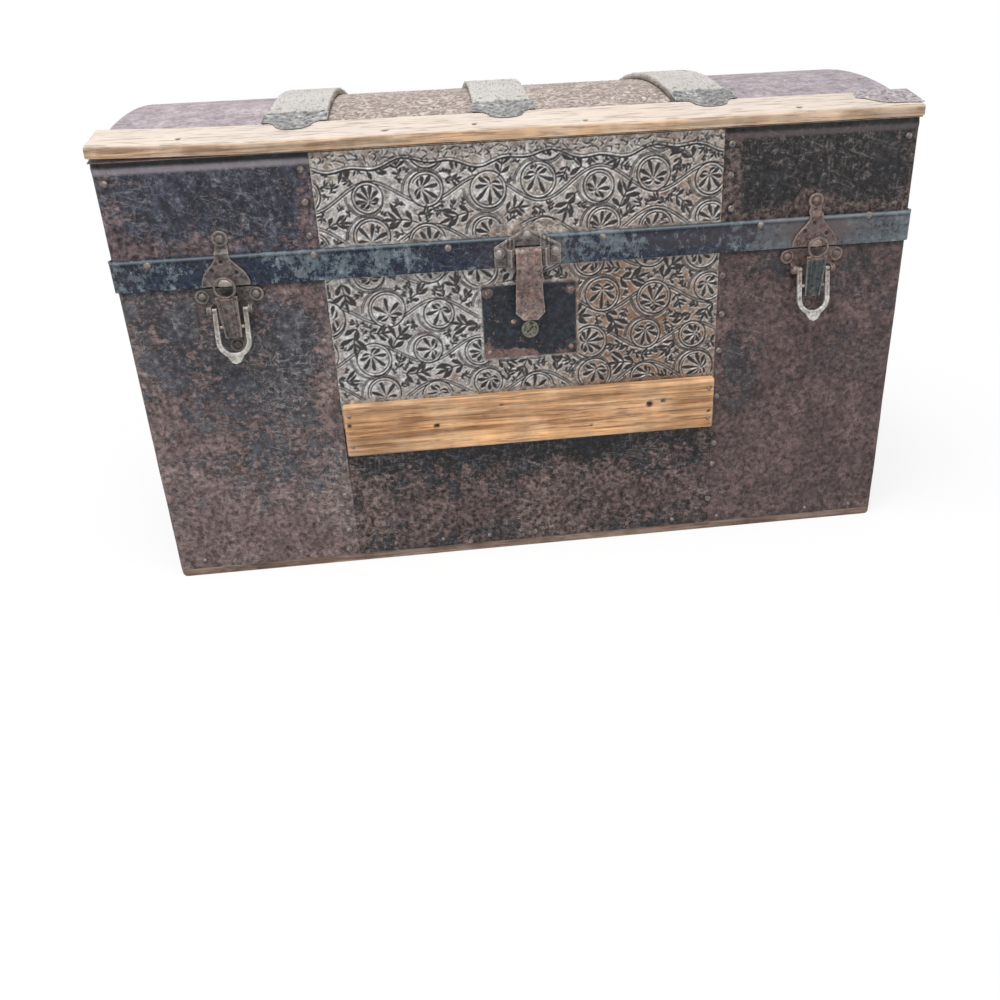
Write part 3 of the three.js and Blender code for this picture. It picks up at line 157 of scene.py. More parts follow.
def make_stage():
    """White paper under and behind the trunk. It looks plain white to the camera away from the trunk, and near
    it keeps a faint shadow."""
    scene = bpy.context.scene
    scene.view_settings.view_transform = "Standard"
    floor_mesh = bpy.data.meshes.new("floor")
    floor_mesh.from_pydata([(-9, -9, 0), (9, -9, 0), (9, 9, 0), (-9, 9, 0)], [], [(0, 1, 2, 3)])
    floor = show(bpy.data.objects.new("floor", floor_mesh))
    ground, tree, place = material("white paper")
    shader = tree.nodes["Principled BSDF"]
    shader.inputs["Base Color"].default_value = linear("#e9e9e9")
    shader.inputs["Roughness"].default_value = 0.9
    glow = add(tree, "Emission", Color="#ffffff", Strength=1)
    far = add(tree, "VectorMath", {"operation": "LENGTH"}, "Value", Vector=place)
    clean = add(tree, "MapRange", EASED, Value=far, From_Min=0.45, From_Max=0.9, To_Min=0.8, To_Max=1.0)
    share = add(tree, "Math", TIMES, i0=shows_paper(tree), i1=clean)
    both = add(tree, "MixShader", i0=share, i1=shader.outputs[0], i2=glow)
    tree.links.new(both, tree.nodes["Material Output"].inputs["Surface"])
    floor_mesh.materials.append(ground)

    world = scene.world = bpy.data.worlds.new("studio")
    world.use_nodes = True
    tree = world.node_tree
    soft = tree.nodes["Background"]
    soft.inputs["Color"].default_value = linear("#ffffff")
    soft.inputs["Strength"].default_value = 0.45
    white = add(tree, "Background", Color="#ffffff", Strength=1)
    both = add(tree, "MixShader", i0=shows_paper(tree), i1=soft.outputs[0], i2=white)
    tree.links.new(both, tree.nodes["World Output"].inputs["Surface"])

    for name, place, size, power, aim in (("over", (-0.3, -0.7, 2.3), 1.3, 56, (0, 0, 0.3)),
                                          ("side", (1.6, -2.0, 1.0), 1.2, 7, (0, 0, 0.2))):
        lamp = bpy.data.lights.new(name, "AREA")
        lamp.size = size
        lamp.energy = power
        holder = show(bpy.data.objects.new(name, lamp))
        holder.location = place
        holder.rotation_euler = (Vector(aim) - Vector(place)).to_track_quat("-Z", "Y").to_euler()


def make_camera():
    """Stands in front of the trunk at head height and looks down on it, held at a slight slant."""
    yaw, pitch, roll = (math.radians(a) for a in (4.04, 19.89, -3.08))
    ahead = Vector((math.sin(yaw) * math.cos(pitch), math.cos(yaw) * math.cos(pitch), -math.sin(pitch)))
    level_right = Vector((math.cos(yaw), -math.sin(yaw), 0))
    level_up = level_right.cross(ahead)
    right = math.cos(roll) * level_right + math.sin(roll) * level_up
    up = math.cos(roll) * level_up - math.sin(roll) * level_right
    lens = bpy.data.cameras.new("camera")
    lens.sensor_width = 36
    lens.lens = 27
    lens.shift_y = -0.125
    lens.clip_start = 0.01
    holder = show(bpy.data.objects.new("camera", lens))
    turn = Matrix((right, up, -ahead)).transposed().to_4x4()
    holder.matrix_world = Matrix.Translation((-0.0792, -0.909, 0.452)) @ turn
    bpy.context.scene.camera = holder


make_camera()
make_stage()


def piece(name, mesh, body, skin, node=None):
    """Puts a finished mesh in the scene, on the body that it moves with, in the place of a CAD node."""
    made = show(bpy.data.objects.new(name, mesh))
    mesh.materials.clear()
    mesh.materials.append(skin)
    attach(made, body)
    if node:
        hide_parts(node)


def fine_copy(node, cell):
    """The shape of a CAD node in even facets, cell wide."""
    mesh = bpy.data.objects[node].data.copy()
    work = bmesh.new()
    work.from_mesh(mesh)
    bmesh.ops.remove_doubles(work, verts=work.verts, dist=1e-6)
    work.to_mesh(mesh)
    work.free()
    temp = show(bpy.data.objects.new(node + "_shape", mesh))
    bpy.ops.object.select_all(action="DESELECT")
    temp.select_set(True)
    bpy.context.view_layer.objects.active = temp
    remesh = temp.modifiers.new("facets", "REMESH")
    remesh.mode = "VOXEL"
    remesh.voxel_size = cell * MM
    bpy.ops.object.modifier_apply(modifier=remesh.name)
    made = temp.data
    bpy.data.objects.remove(temp)
    return made


def read(mesh, what="co"):
    """The place or the normal of each point of a mesh."""
    flat = np.empty(3 * len(mesh.vertices), dtype=np.float32)
    mesh.vertices.foreach_get(what, flat)
    return flat.reshape(-1, 3).astype(float) / (MM if what == "co" else 1)


def move_to(mesh, points):
    mesh.vertices.foreach_set("co", (points * MM).astype(np.float32).ravel())
    mesh.update()


def mark(mesh, name, values):
    """Keeps a number for each point of a mesh, for its material."""
    layer = mesh.attributes.new(name, "FLOAT", "POINT")
    layer.data.foreach_set("value", np.asarray(values, dtype=np.float32))


def share_of(values):
    return np.clip(values, 0, 1)


def cloud(points, size, seed, depth=1):
    """Smooth noise from -1 to 1 at each point, with lumps of a size."""
    shift = Vector((seed * 13.7, seed * 7.1, seed * 3.3))
    spots = (Vector(p) / size + shift for p in points)
    return np.array([noise.noise(p) if depth == 1 else noise.fractal(p, 1.0, 2.0, depth) for p in spots])


def smooth(mesh, angle=40):
    mesh.shade_smooth()
    mesh.set_sharp_from_angle(angle=math.radians(angle))


def sheet_piece(name, node, skin, outer, inner, marks, angle=40, holes=None):
    """Replaces a CAD node by a thin closed solid between two grids of points. Seen from outside, their columns
    go right and their rows go up. marks are the numbers that the finish needs, for one grid or for both, and
    holes the cells that are left out."""
    rows, columns = outer.shape[:2]
    points = np.concatenate([outer.reshape(-1, 3), inner.reshape(-1, 3)])
    number = np.arange(rows * columns).reshape(rows, columns)
    keep = np.ones((rows - 1, columns - 1), bool) if holes is None else ~holes
    front = np.stack([number[:-1, :-1], number[:-1, 1:], number[1:, 1:], number[1:, :-1]], -1)[keep]
    back = front[:, ::-1] + rows * columns
    framed = np.pad(keep, 1)
    sides = []
    for dr, dc, a, b in ((-1, 0, (0, 0), (0, 1)), (1, 0, (1, 1), (1, 0)),
                         (0, -1, (1, 0), (0, 0)), (0, 1, (0, 1), (1, 1))):
        beside = framed[1 + dr:rows + dr, 1 + dc:columns + dc]
        r, c = np.nonzero(keep & ~beside)
        first, last = number[r + a[0], c + a[1]], number[r + b[0], c + b[1]]
        sides.append(np.stack([last, first, first + rows * columns, last + rows * columns], -1))
    used, faces = np.unique(np.concatenate([front, back] + sides), return_inverse=True)
    mesh = bpy.data.meshes.new(name)
    mesh.from_pydata((points[used] * MM).tolist(), [], faces.reshape(-1, 4).tolist())
    for key, values in marks.items():
        mark(mesh, key, np.resize(values, len(points))[used])
    smooth(mesh, angle)
    piece(name, mesh, name.split("_")[0], skin, node)


def shares(start, end, step):
    """Even places from start to end, about one step apart."""
    return np.linspace(start, end, max(int(round(abs(end - start) / step)), 1) + 1)


def dome(y, lift=0.0):
    return DOME_CENTRE + np.sqrt((DOME_RADIUS + lift) ** 2 - np.asarray(y) ** 2)


def outline():
    """The case's outline, counter-clockwise from the middle of the front: places, ways that they face, and how
    far along they are."""
    spots, ways = [(0, -HALF_DEPTH)], [(0, -1)]
    for i, (sx, sy) in enumerate(((1, -1), (1, 1), (-1, 1), (-1, -1))):
        for t in np.radians(np.linspace(0, 90, 6)):
            turn = math.radians(-90 + 90 * i) + t
            ways.append((math.cos(turn), math.sin(turn)))
            spots.append((sx * (HALF_LENGTH - CORNER) + CORNER * ways[-1][0],
                          sy * (HALF_DEPTH - CORNER) + CORNER * ways[-1][1]))
    spots, ways = np.array(spots + spots[:1]), np.array(ways + ways[:1])
    return spots, ways, np.concatenate([[0], np.cumsum(np.linalg.norm(np.diff(spots, axis=0), axis=1))])


SPOTS, WAYS, STEPS = outline()
ROUND = STEPS[-1]
HALF_TURN = ROUND / 2


def wall(start, end, low, high, step, lift):
    """Outer and inner points of a sheet wrapped round the case, from one place along the outline to another.
    high is a height, or a function of y. lift(points) gives how far each point stands out of true."""
    along = shares(start, end, step)
    knots = np.concatenate([STEPS, STEPS + ROUND])
    along = np.unique(np.concatenate([along, knots[(knots > start) & (knots < end)]]))
    spot, way = (np.stack([np.interp(along % ROUND, STEPS, table[:, i]) for i in (0, 1)], -1)
                 for table in (SPOTS, WAYS))
    way /= np.linalg.norm(way, axis=1)[:, None]
    top = high(spot[:, 1]) if callable(high) else np.full(len(along), high)
    share = np.linspace(0, 1, int((top.max() - low) / step) + 2)[:, None]
    z = low + share * (top - low)[None]
    outer = np.dstack([spot[:, 0] + 0 * z, spot[:, 1] + 0 * z, z])
    out = np.dstack([way[:, 0] + 0 * z, way[:, 1] + 0 * z, 0 * z])
    raised = lift(outer)[..., None] * out
    return outer + raised, outer - SHEET * out + raised * 0.6


def blots(points, spots):
    """Sum of soft blots given as x, height, half width, half height and strength."""
    total = np.zeros(len(points))
    for x, z, wide, tall, strength in spots:
        total += strength * np.exp(-((points[:, 0] - x) / wide) ** 2 - ((points[:, 2] - z) / tall) ** 2)
    return total


def curvature(mesh):
    """For each point, above 0 on a ridge and below 0 in a hollow."""
    points = read(mesh)
    ends = np.empty(2 * len(mesh.edges), dtype=np.int32)
    mesh.edges.foreach_get("vertices", ends)
    ends = ends.reshape(-1, 2)

    def beside(values):
        """Sum of what the neighbours of each point hold."""
        total = np.zeros_like(values)
        for a, b in ((0, 1), (1, 0)):
            np.add.at(total, ends[:, a], values[ends[:, b]])
        return total

    count = beside(np.ones(len(points)))
    reach = np.linalg.norm(points[ends[:, 0]] - points[ends[:, 1]], axis=1).mean()
    bend = ((points - beside(points) / np.maximum(count, 1)[:, None]) * read(mesh, "normal")).sum(1) / reach
    for _ in range(2):
        bend = (bend + beside(bend)) / (1 + count)
    return bend


def cast(node, cell, body, skin, shape=None, angle=50):
    """Replaces a CAD node by the same shape in fine facets, with wear. shape(points, normals) gives how far
    each point moves out."""
    mesh = fine_copy(node, cell)
    if shape:
        points, normals = read(mesh), read(mesh, "normal")
        move_to(mesh, points + shape(points, normals)[:, None] * normals)
    bend = curvature(mesh)
    mark(mesh, "ridge", share_of(bend * 5))
    mark(mesh, "hollow", share_of(-bend * 5))
    smooth(mesh, angle)
    piece(node + "_piece", mesh, body, skin, node)
    return mesh


CELL = 0.4                      # between the points of the drawing
SOFT = 0.7                      # over which a groove's side falls


def polar(centre, radius, turn):
    return centre[0] + radius * math.cos(turn), centre[1] + radius * math.sin(turn)


def window(sheet, low, high):
    """The part of a drawing between two corners, and the places of its points."""
    low = np.floor(low / CELL).astype(int).clip(0)
    high = (np.ceil(high / CELL).astype(int) + 1).clip(0)
    part = sheet[low[1]:high[1], low[0]:high[0]]
    v, u = np.mgrid[low[1]:low[1] + part.shape[0], low[0]:low[0] + part.shape[1]] * CELL
    return part, u, v


def groove(sheet, points, *widths):
    """Presses a groove along a line of points. Its width runs through the given ones at even steps."""
    points = np.array(points, float)
    wide = np.interp(np.linspace(0, 1, len(points)), np.linspace(0, 1, len(widths)), widths)
    for a, b, w0, w1 in zip(points, points[1:], wide, wide[1:]):
        reach = max(w0, w1) / 2 + SOFT
        part, u, v = window(sheet, np.minimum(a, b) - reach, np.maximum(a, b) + reach)
        along = b - a
        t = (((u - a[0]) * along[0] + (v - a[1]) * along[1]) / max(along @ along, 1e-9)).clip(0, 1)
        gap = np.hypot(u - a[0] - t * along[0], v - a[1] - t * along[1])
        np.maximum(part, (((w0 + (w1 - w0) * t) / 2 - gap) / SOFT + 0.5).clip(0, 1), out=part)


def clear(sheet, centre, radius):
    part, u, v = window(sheet, np.array(centre) - radius, np.array(centre) + radius)
    part[np.hypot(u - centre[0], v - centre[1]) < radius] = 0


def curve(root, heading, length, bend, count=5):
    """Points along an arc that leaves the root in a direction and turns by bend."""
    spots = [np.array(root, float)]
    for i in range(count):
        spots.append(np.array(polar(spots[-1], length / count, heading + bend * (i + 0.5) / count)))
    return spots


def leaf(sheet, root, heading, size, bend, rng):
    """A deeply cut leaf: long curling fingers in pairs along a bent rib, and a fan of three at its tip."""
    rib = curve(root, heading, size * 0.6, bend, 4)
    groove(sheet, rib, 0.7, 1.2)
    for i, share in ((1, 0.75), (3, 1.0)):
        way = heading + bend * i / 4
        for side in (-1, 1):
            reach = size * 0.5 * share * rng.uniform(0.85, 1.15)
            finger = curve(rib[i], way + side * rng.uniform(0.8, 1.1), reach, side * rng.uniform(-1.5, 0.3))
            groove(sheet, finger, 0.6, size * 0.1, size * 0.17, 0.4)
    for turn, share in ((-0.6, 0.36), (0, 0.46), (0.6, 0.36)):
        groove(sheet, curve(rib[-1], heading + bend + turn, size * share, turn * 0.7), 0.9, size * 0.12, 0.3)


def flower(sheet, centre, radius, way, petals, rng):
    """A flower in a ring: pale ribs that open like a fan, with pressed cells between them that widen outwards,
    two curled leaves below, and a raised ring between two thin lines."""
    turns = np.linspace(0, 2 * math.pi, 31)
    clear(sheet, centre, radius + 0.4)
    groove(sheet, [polar(centre, radius, t) for t in turns], 1.1)
    groove(sheet, [polar(centre, radius - 2.6, way + t) for t in np.linspace(-1.7, 2.9, 26)], 0.3, 0.9, 0.6)
    inner = radius - 3.2
    root = polar(centre, -inner * 0.42, way)
    for i in range(petals):
        share = 2 * i / (petals - 1) - 1
        t = way + 1.45 * share + rng.uniform(-0.06, 0.06)
        reach = inner * (1.34 - 0.5 * share ** 2) * rng.uniform(0.82, 1.02)
        groove(sheet, curve(polar(root, 2.2, t), t, reach - 2.4, 0.5 * share), 0.4, 1.2, 2.4, 4.2, 3.0)
    for side in (-1, 1):
        t = way + side * 2.5
        groove(sheet, curve(polar(root, 1.6, t), t, inner * 0.6, side * -1.4), 0.6, 2.8, 0.5)
    groove(sheet, [polar(root, 0.8, t) for t in turns[::5]], 0.6)


def runner(sheet, points, width, line):
    """Two thin grooves with a raised stem between them."""
    points = np.array(points, float)
    along = np.gradient(points, axis=0)
    along /= np.linalg.norm(along, axis=1)[:, None]
    aside = np.stack([-along[:, 1], along[:, 0]], 1) * width / 2
    for side in (-1, 1):
        groove(sheet, points + side * aside, line)


def scrollwork(width, height, seed):
    """Rows of vines: each bend of a vine curls round a flower, and leaves fill what is between."""
    half, gap, swing = 53.0, 41.0, 12.0     # half a wave's length, from row to row, half a wave's height
    rng = np.random.default_rng(seed)
    sheet = np.zeros((int(height / CELL) + 1, int(width / CELL) + 1))
    flowers = []
    for row in range(int(height / gap) + 2):
        middle = (row - 0.2) * gap
        start = -half - (row % 2) * half * 0.9 - rng.uniform(4, 24)
        u = np.arange(start, width + 2 * half, 2.5)
        wave = middle + swing * np.cos(math.pi * (u - start) / half) + 2.2 * np.sin(u / 27 + 2 * row)
        runner(sheet, np.stack([u, wave], 1), 2.1, 0.9)
        for i in range(int((width + 3 * half) / half)):
            way = 1 if i % 2 == 0 else -1
            crest = start + i * half + rng.uniform(-3, 3)
            centre = (crest + rng.uniform(-3, 3), middle - way * rng.uniform(1.5, 5))
            radius = rng.uniform(13.5, 17.5)
            flowers.append((centre, radius, rng.uniform(0, 2 * math.pi), int(rng.integers(5, 8))))
            sweep = enumerate(np.linspace(math.radians(-185), math.radians(-20), 12))
            runner(sheet, [polar(centre, radius + 6.0 * (1 - k / 11), way * t) for k, t in sweep], 1.6, 0.8)
    for one in flowers:
        flower(sheet, *one, rng)
    for size, tries in ((32, 400), (25, 500), (18, 800), (12, 1200), (8, 1500)):
        for _ in range(int(tries * width * height / 40000)):
            root = (rng.uniform(-5, width + 5), rng.uniform(-5, height + 5))
            heading, bend = rng.uniform(0, 2 * math.pi), rng.uniform(-1.1, 1.1)
            u, v = polar(root, size * 0.5, heading + bend * 0.4)
            r, c, span = int(v / CELL), int(u / CELL), int(size * 0.36 / CELL)
            near = sheet[max(r - span, 0):max(r + span, 1), max(c - span, 0):max(c + span, 1)]
            if near.size and near.mean() < 0.05:
                leaf(sheet, root, heading, size, bend, rng)
    return sheet


def grooves_at(sheet, u, v):
    """Depth of the drawing, from 0 to 1, at places measured from its lower left corner."""
    column, row = u / CELL, v / CELL
    c0 = np.clip(np.floor(column).astype(int), 0, sheet.shape[1] - 2)
    r0 = np.clip(np.floor(row).astype(int), 0, sheet.shape[0] - 2)
    c, r = share_of(column - c0), share_of(row - r0)
    return ((sheet[r0, c0] * (1 - c) + sheet[r0, c0 + 1] * c) * (1 - r)
            + (sheet[r0 + 1, c0] * (1 - c) + sheet[r0 + 1, c0 + 1] * c) * r)


def blurred(sheet, times_over):
    for _ in range(times_over):
        sheet = (sheet + np.roll(sheet, 1, 0) + np.roll(sheet, -1, 0)
                 + np.roll(sheet, 1, 1) + np.roll(sheet, -1, 1)) / 5
    return sheet


def wood(name, axis, colours, bare, top=None, contrast=1.0):
    """Old sawn wood, long without varnish: silver-grey where the weather has got at it and tan
    below, growth rings as long bands, open pores as short dark dashes, and dirt in the hollows."""
    pale, dark, worn, soil = colours.split()
    made, tree, place = material(name)
    long, fine, streak = ([share if i == axis else 1 for i in range(3)] for share in (0.045, 0.05, 0.02))
    rings = patches(tree, place, 9, 0.42, 0.60, 5, 0.62, long, 0.6)
    pores = patches(tree, place, 1.6, 0.55, 0.66, 3, 0.55, fine)
    cloudy = patches(tree, place, 60, 0.38, 0.62, 4)
    weather = patches(tree, place, 26, 0.42, 0.62, 6, 0.6, (0.6, 1, 1))
    colour = layers(tree, pale, (rings, 1.0, dark), (cloudy, 0.35, soil), (weather, bare, worn))
    colour = mottle(tree, colour, place, 3.2, 1 - 0.32 * contrast, 1 + 0.26 * contrast, 4, streak)
    colour = mottle(tree, colour, place, 40, 0.84, 1.14)
    if top:
        way = add(tree, "NewGeometry", out="Normal")
        up = add(tree, "SeparateXYZ", out="Z", Vector=way)
        upward = add(tree, "MapRange", Value=up, From_Min=0.35, From_Max=0.85)
        colour = layers(tree, colour, (upward, 0.85, top))
    colour = layers(tree, colour, (pores, 0.55, soil), ("ridge", 0.45, worn), ("hollow", 0.9, soil),
                    ("dirt_and_painted_shade", 1.0, "#1d1713"))
    return finish(made, colour, (rings, -0.35), (pores, -0.3), rough=(rings, 0.68, 0.86))


def enamel(name, colours, share, grain, scored=0.4, gloss=0.42, brushed=(0.6, 0.6, 1)):
    """Sheet steel under old black asphalt enamel: thin, brittle and slightly glossy where it is left, in ragged
    islands with scratches through it; matt brown rust with paler bloom, dark pits and dust where it is gone."""
    paint, tint, rust, deep, pale, dust_and_painted_highlight, rim = colours.split()
    made, tree, place = material(name)
    keep = add(tree, "Attribute", {"attribute_name": "paint"}, "Fac")
    broad = add(tree, "TexNoise", Vector=place, Scale=1 / (24 * MM), Detail=6, Roughness=0.72)
    drawn = add(tree, "Mapping", Vector=place, Scale=brushed)
    fine = add(tree, "TexNoise", Vector=drawn, Scale=1 / (5 * MM), Detail=5, Roughness=0.78)
    mixed = add(tree, "Math", TIMES_PLUS, i0=fine, i1=1.3, i2=broad)
    lifted = add(tree, "Math", TIMES_PLUS, i0=keep, i1=0.45, i2=mixed)
    cut_off = 1.45 - share * 0.45
    left = add(tree, "MapRange", EASED, Value=lifted, From_Min=cut_off, From_Max=cut_off + 0.06)
    bloom = patches(tree, place, 45, 0.40, 0.64, 8, 0.65)
    specks = patches(tree, place, 5, 0.50, 0.60, 5, 0.7)
    haze = patches(tree, place, 24, 0.44, 0.64, 8, 0.75)
    powder = patches(tree, place, 6, 0.52, 0.66, 6, 0.75)
    scuffed = patches(tree, place, 60, 0.40, 0.60, 4)
    base = layers(tree, rust, (bloom, 0.9, pale), (specks, 0.8, deep))
    film = layers(tree, paint, (haze, 0.9, tint), (powder, 0.35, dust_and_painted_highlight))
    colour = layers(tree, base, (left, 1.0, film))
    for *stretch, turn in ((0.14, 0.14, 1, (0, 0, 0)), (1, 1, 0.13, (0, 0, 0)), (1, 1, 0.16, (0.3, 0.7, 0.2)),
                           (1, 1, 0.16, (0.2, -0.8, 0.1)), (1, 1, 0.03, (0.1, 1.2, 0.3))):
        slant = add(tree, "Mapping", Vector=place, Rotation=turn)
        scratch = patches(tree, slant, 2, 0.61, 0.67, 2, 0.5, stretch, 0.3)
        marked = add(tree, "Math", TIMES, i0=scratch, i1=scuffed)
        colour = layers(tree, colour, (marked, scored, dust_and_painted_highlight))
    colour = mottle(tree, colour, place, 4.6, 1 - grain, 1 + grain, 5)
    colour = mottle(tree, colour, place, 16, 0.76, 1.24, 5)
    # The near-black last layer is painted shade: under the band, its bead, the edge slats and the nails.
    colour = layers(tree, colour, ("tarnish", 1.0, "#584c4a"), ("bare", 1.0, rim), ("dirt_and_painted_shade", 1.0, "#100f11"))
    return finish(made, colour, (left, 0.15), (specks, -0.2), rough=(left, 0.78, gloss), specular=0.3)


def tin(name, colours, depth=0.95):
    """Tinplate pressed with a pattern and once painted: grey-beige film on the raised ground, wiped thin where
    the tin shows, black-brown dirt in the grooves, painted highlights on the raised lips and on each ridge's
    upper side, and painted shade below each ridge."""
    ground, warm, white, dark = colours.split()
    made, tree, place = material(name)
    stain = patches(tree, place, 30, 0.46, 0.62, 8, 0.7)
    chalk = patches(tree, place, 11, 0.44, 0.58, 6, 0.7)
    grains = patches(tree, place, 4, 0.5, 0.62, 4, 0.62)
    smoky = patches(tree, place, 9, 0.50, 0.60, 6, 0.7)
    # Painted highlights on the raised lips and on slopes that face up, and painted shade on slopes that face down.
    colour = layers(tree, ground, (chalk, 0.6, white), ("wiped", 0.6, "#c3c8cd"), ("warm", 1.0, warm),
                    (stain, 0.5, warm), (smoky, 0.5, dark), ("lip", 0.6, white), (grains, 0.35, dark),
                    ("dust_and_painted_highlight", 0.95, white), ("painted_shade_below", 0.9, dark))
    colour = mottle(tree, colour, place, 4.2, 0.66, 1.36)
    colour = layers(tree, colour, ("groove", depth, dark))
    return finish(made, colour, (grains, -0.25), rough=(chalk, 0.62, 0.5), metal=(grains, 0.2, 0.05),
                  specular=0.35)


def metal(name, colours, shine=0.4, amount=0.5, size=9, rough=0.55):
    """Stamped steel hardware, once plated or painted: a thin grey film over rust, freckled with pits, rubbed
    pale along its edges and dark in its folds."""
    ground, second, rust, dark, edge = colours.split()
    made, tree, place = material(name)
    film = patches(tree, place, size, 0.42, 0.6, 6, 0.66)
    rusty = patches(tree, place, size * 0.9, 0.62 - 0.25 * amount, 0.72 - 0.2 * amount, 6, 0.66)
    pits = patches(tree, place, 3.6, 0.54, 0.64, 4, 0.62)
    colour = layers(tree, ground, (film, 1.0, second), (rusty, 1.0, rust))
    rusted = add(tree, "Attribute", {"attribute_name": "rust"}, "Fac")
    ragged = add(tree, "TexNoise", Vector=place, Scale=1 / (7 * MM), Detail=6, Roughness=0.7)
    spread = add(tree, "Math", PLUS, i0=rusted, i1=ragged)
    eaten = add(tree, "MapRange", EASED, Value=spread, From_Min=0.9, From_Max=1.0)
    colour = layers(tree, colour, (eaten, 0.9, rust))
    colour = mottle(tree, colour, place, 3.8, 0.55, 1.45)
    colour = layers(tree, colour, (pits, 0.65, dark), ("ridge", 0.8, edge), ("hollow", 0.95, dark),
                    ("pale", 1.0, edge), ("dirt_and_painted_shade", 1.0, dark))
    return finish(made, colour, (rusty, 0.1), (pits, -0.25), rough=(rusty, rough, 0.8), metal=(rusty, shine, 0.1))


def hide(name):
    """Thick harness leather, vegetable tanned and dried out: dark brown, cracked across the bend in fine
    lines, paler where hands and edges rubbed it."""
    made, tree, place = material(name)
    cells = add(tree, "TexVoronoi", {"feature": "DISTANCE_TO_EDGE"}, "Distance", Vector=place,
                Scale=1 / (2.4 * MM))
    cracks = add(tree, "MapRange", Value=cells, From_Max=0.09, To_Min=1, To_Max=0)
    rubbed = patches(tree, place, 20, 0.42, 0.64)
    colour = layers(tree, "#3d2a1f", (rubbed, 1.0, "#5d4330"), ("ridge", 0.8, "#86654a"), (cracks, 0.7, "#1c130e"))
    colour = mottle(tree, colour, place, 5, 0.8, 1.15)
    return finish(made, colour, (cracks, -0.3), rough=(rubbed, 0.72, 0.5))


PINE = wood("old pine", 0, "#a07b4e #86623b #8c7450 #3a2a1c", 0.2)
FOOT_PINE = wood("worn pine foot", 0, "#8a7263 #6d574a #a08c7e #2c211b", 0.5)
FRONT_OAK = wood("front slat oak", 0, "#daa878 #ad784c #dfbd99 #5c3d2d", 0.35, None, 1.4)
EDGE_OAK = wood("edge slat oak", 0, "#cda681 #9b7a5d #d2bda6 #66564b", 0.5, "#c0b6ad", 1.2)
CROSS_OAK = wood("cross slat oak", 1, "#aea096 #8f857a #beb8b2 #564c45", 0.8, "#a9a6a3")
LID_ENAMEL = enamel("lid sheet enamel", "#252832 #414552 #5c4d4f #2e2a2c #756668 #8a878b #968e94", 0.5, 0.65, 0.3)
RIGHT_LID_ENAMEL = enamel("right lid sheet enamel", "#131317 #242327 #4e423e #221d1d #5f5250 #7c726c #5d5254",
                          0.62, 0.95, 0.3)
BODY_ENAMEL = enamel("body sheet rust", "#2f3036 #4b4c54 #6c5c5b #493e3c #7c6c69 #95908b #7c6c69", 0.3, 0.5)
RIGHT_BODY_ENAMEL = enamel("right body sheet rust", "#29262a #36343a #554746 #372e2e #645351 #7a6d69 #645351",
                           0.3, 0.45, 0.25)
LOW_ENAMEL = enamel("low sheet enamel", "#131519 #262932 #554745 #2b2525 #6f5e5a #77706c #6f5e5a", 0.42, 0.8)
TOP_ENAMEL = enamel("dome sheet", "#857d83 #928b91 #8e8488 #7d7277 #9d9296 #b5aeb0 #9d9296", 0.35, 0.12, 0.12, 0.5)
BACK_ENAMEL = enamel("back sheet enamel", "#25272e #393c45 #52433d #292324 #66534b #8e8a86 #66534b", 0.5, 0.5)
FRONT_TIN = tin("pressed tin", "#a69f96 #7f6049 #dfdedd #1d1717")
DOME_TIN = tin("pressed tin on the dome", "#a39890 #97817a #c3b9b2 #5d4f4a", 0.7)
BAND_PAINT = enamel("band paint", "#4b5962 #646f76 #20263a #161b25 #2b3240 #8b9093 #8b98a0", 0.5, 0.45, 0.16, 0.5,
                    (1, 1, 0.7))
CLAMP_STEEL = metal("stamped clamp steel", "#6b6b6d #858482 #6f6864 #262423 #a8a7a4", 0.3, 0.3)
LATCH_LEFT = metal("left latch iron", "#4b4645 #6a6360 #5c4843 #1b1818 #a39a90", 0.4, 0.35)
LATCH_RIGHT = metal("right latch iron", "#594b48 #6e5e5a #664e48 #1d1716 #a08a7e", 0.3)
BAIL_STEEL = metal("bail steel", "#9a9792 #b0ada8 #857a70 #4d453f #cdcac5", 0.4, 0.15, rough=0.45)
HASP_PLATE_IRON = metal("hasp plate iron", "#504a49 #726a66 #66534e #191616 #a89f99", 0.4, 0.4)
HASP_IRON = metal("hasp iron", "#655653 #87766f #775b55 #231c1b #b0a097", 0.35, 0.45)
LOCK_IRON = metal("lock plate iron", "#10141b #272d38 #745c57 #0b0d11 #7d8085", 0.3, 0.12, 7)
PLUG_BRASS = metal("key plug brass", "#65645a #7d7b6c #5b5248 #22211c #a29d8b", 0.5, 0.25, 4)
LEATHER = hide("handle leather")
CORNER_STEEL = metal("corner plate steel", "#8f878a #a19a9b #7d6f6b #3b3433 #b5aeac", 0.35, 0.3)
SLATE_LINK = metal("slate blue link iron", "#34393c #474c4d #6b5449 #1a1c1c #8f9490", 0.4, 0.25)
NAIL_STEEL = metal("tack heads", "#6a615e #807774 #6b5a56 #2c2422 #bdb4ae", 0.4, 0.2, 5)
RUSTY_NAIL = metal("rusty tack heads", "#7d645f #8b7873 #6f4f49 #2f2220 #b79b92", 0.3, 0.6, 5)


def tin_relief(sheet, u, v, seed):
    """How far the tin stands out at each place, and the shares of it that are groove and raised lip."""
    deep = grooves_at(blurred(sheet, 3), u, v)
    lip = share_of(grooves_at(blurred(sheet, 11), u, v) * 2.6 - deep * 1.9)
    flat = np.stack([u.ravel(), v.ravel(), np.full(u.size, seed / MM)], 1)
    lumps = cloud(flat, 14, seed).reshape(u.shape)
    return lip + 0.10 * lumps - 0.75 * deep, deep, lip


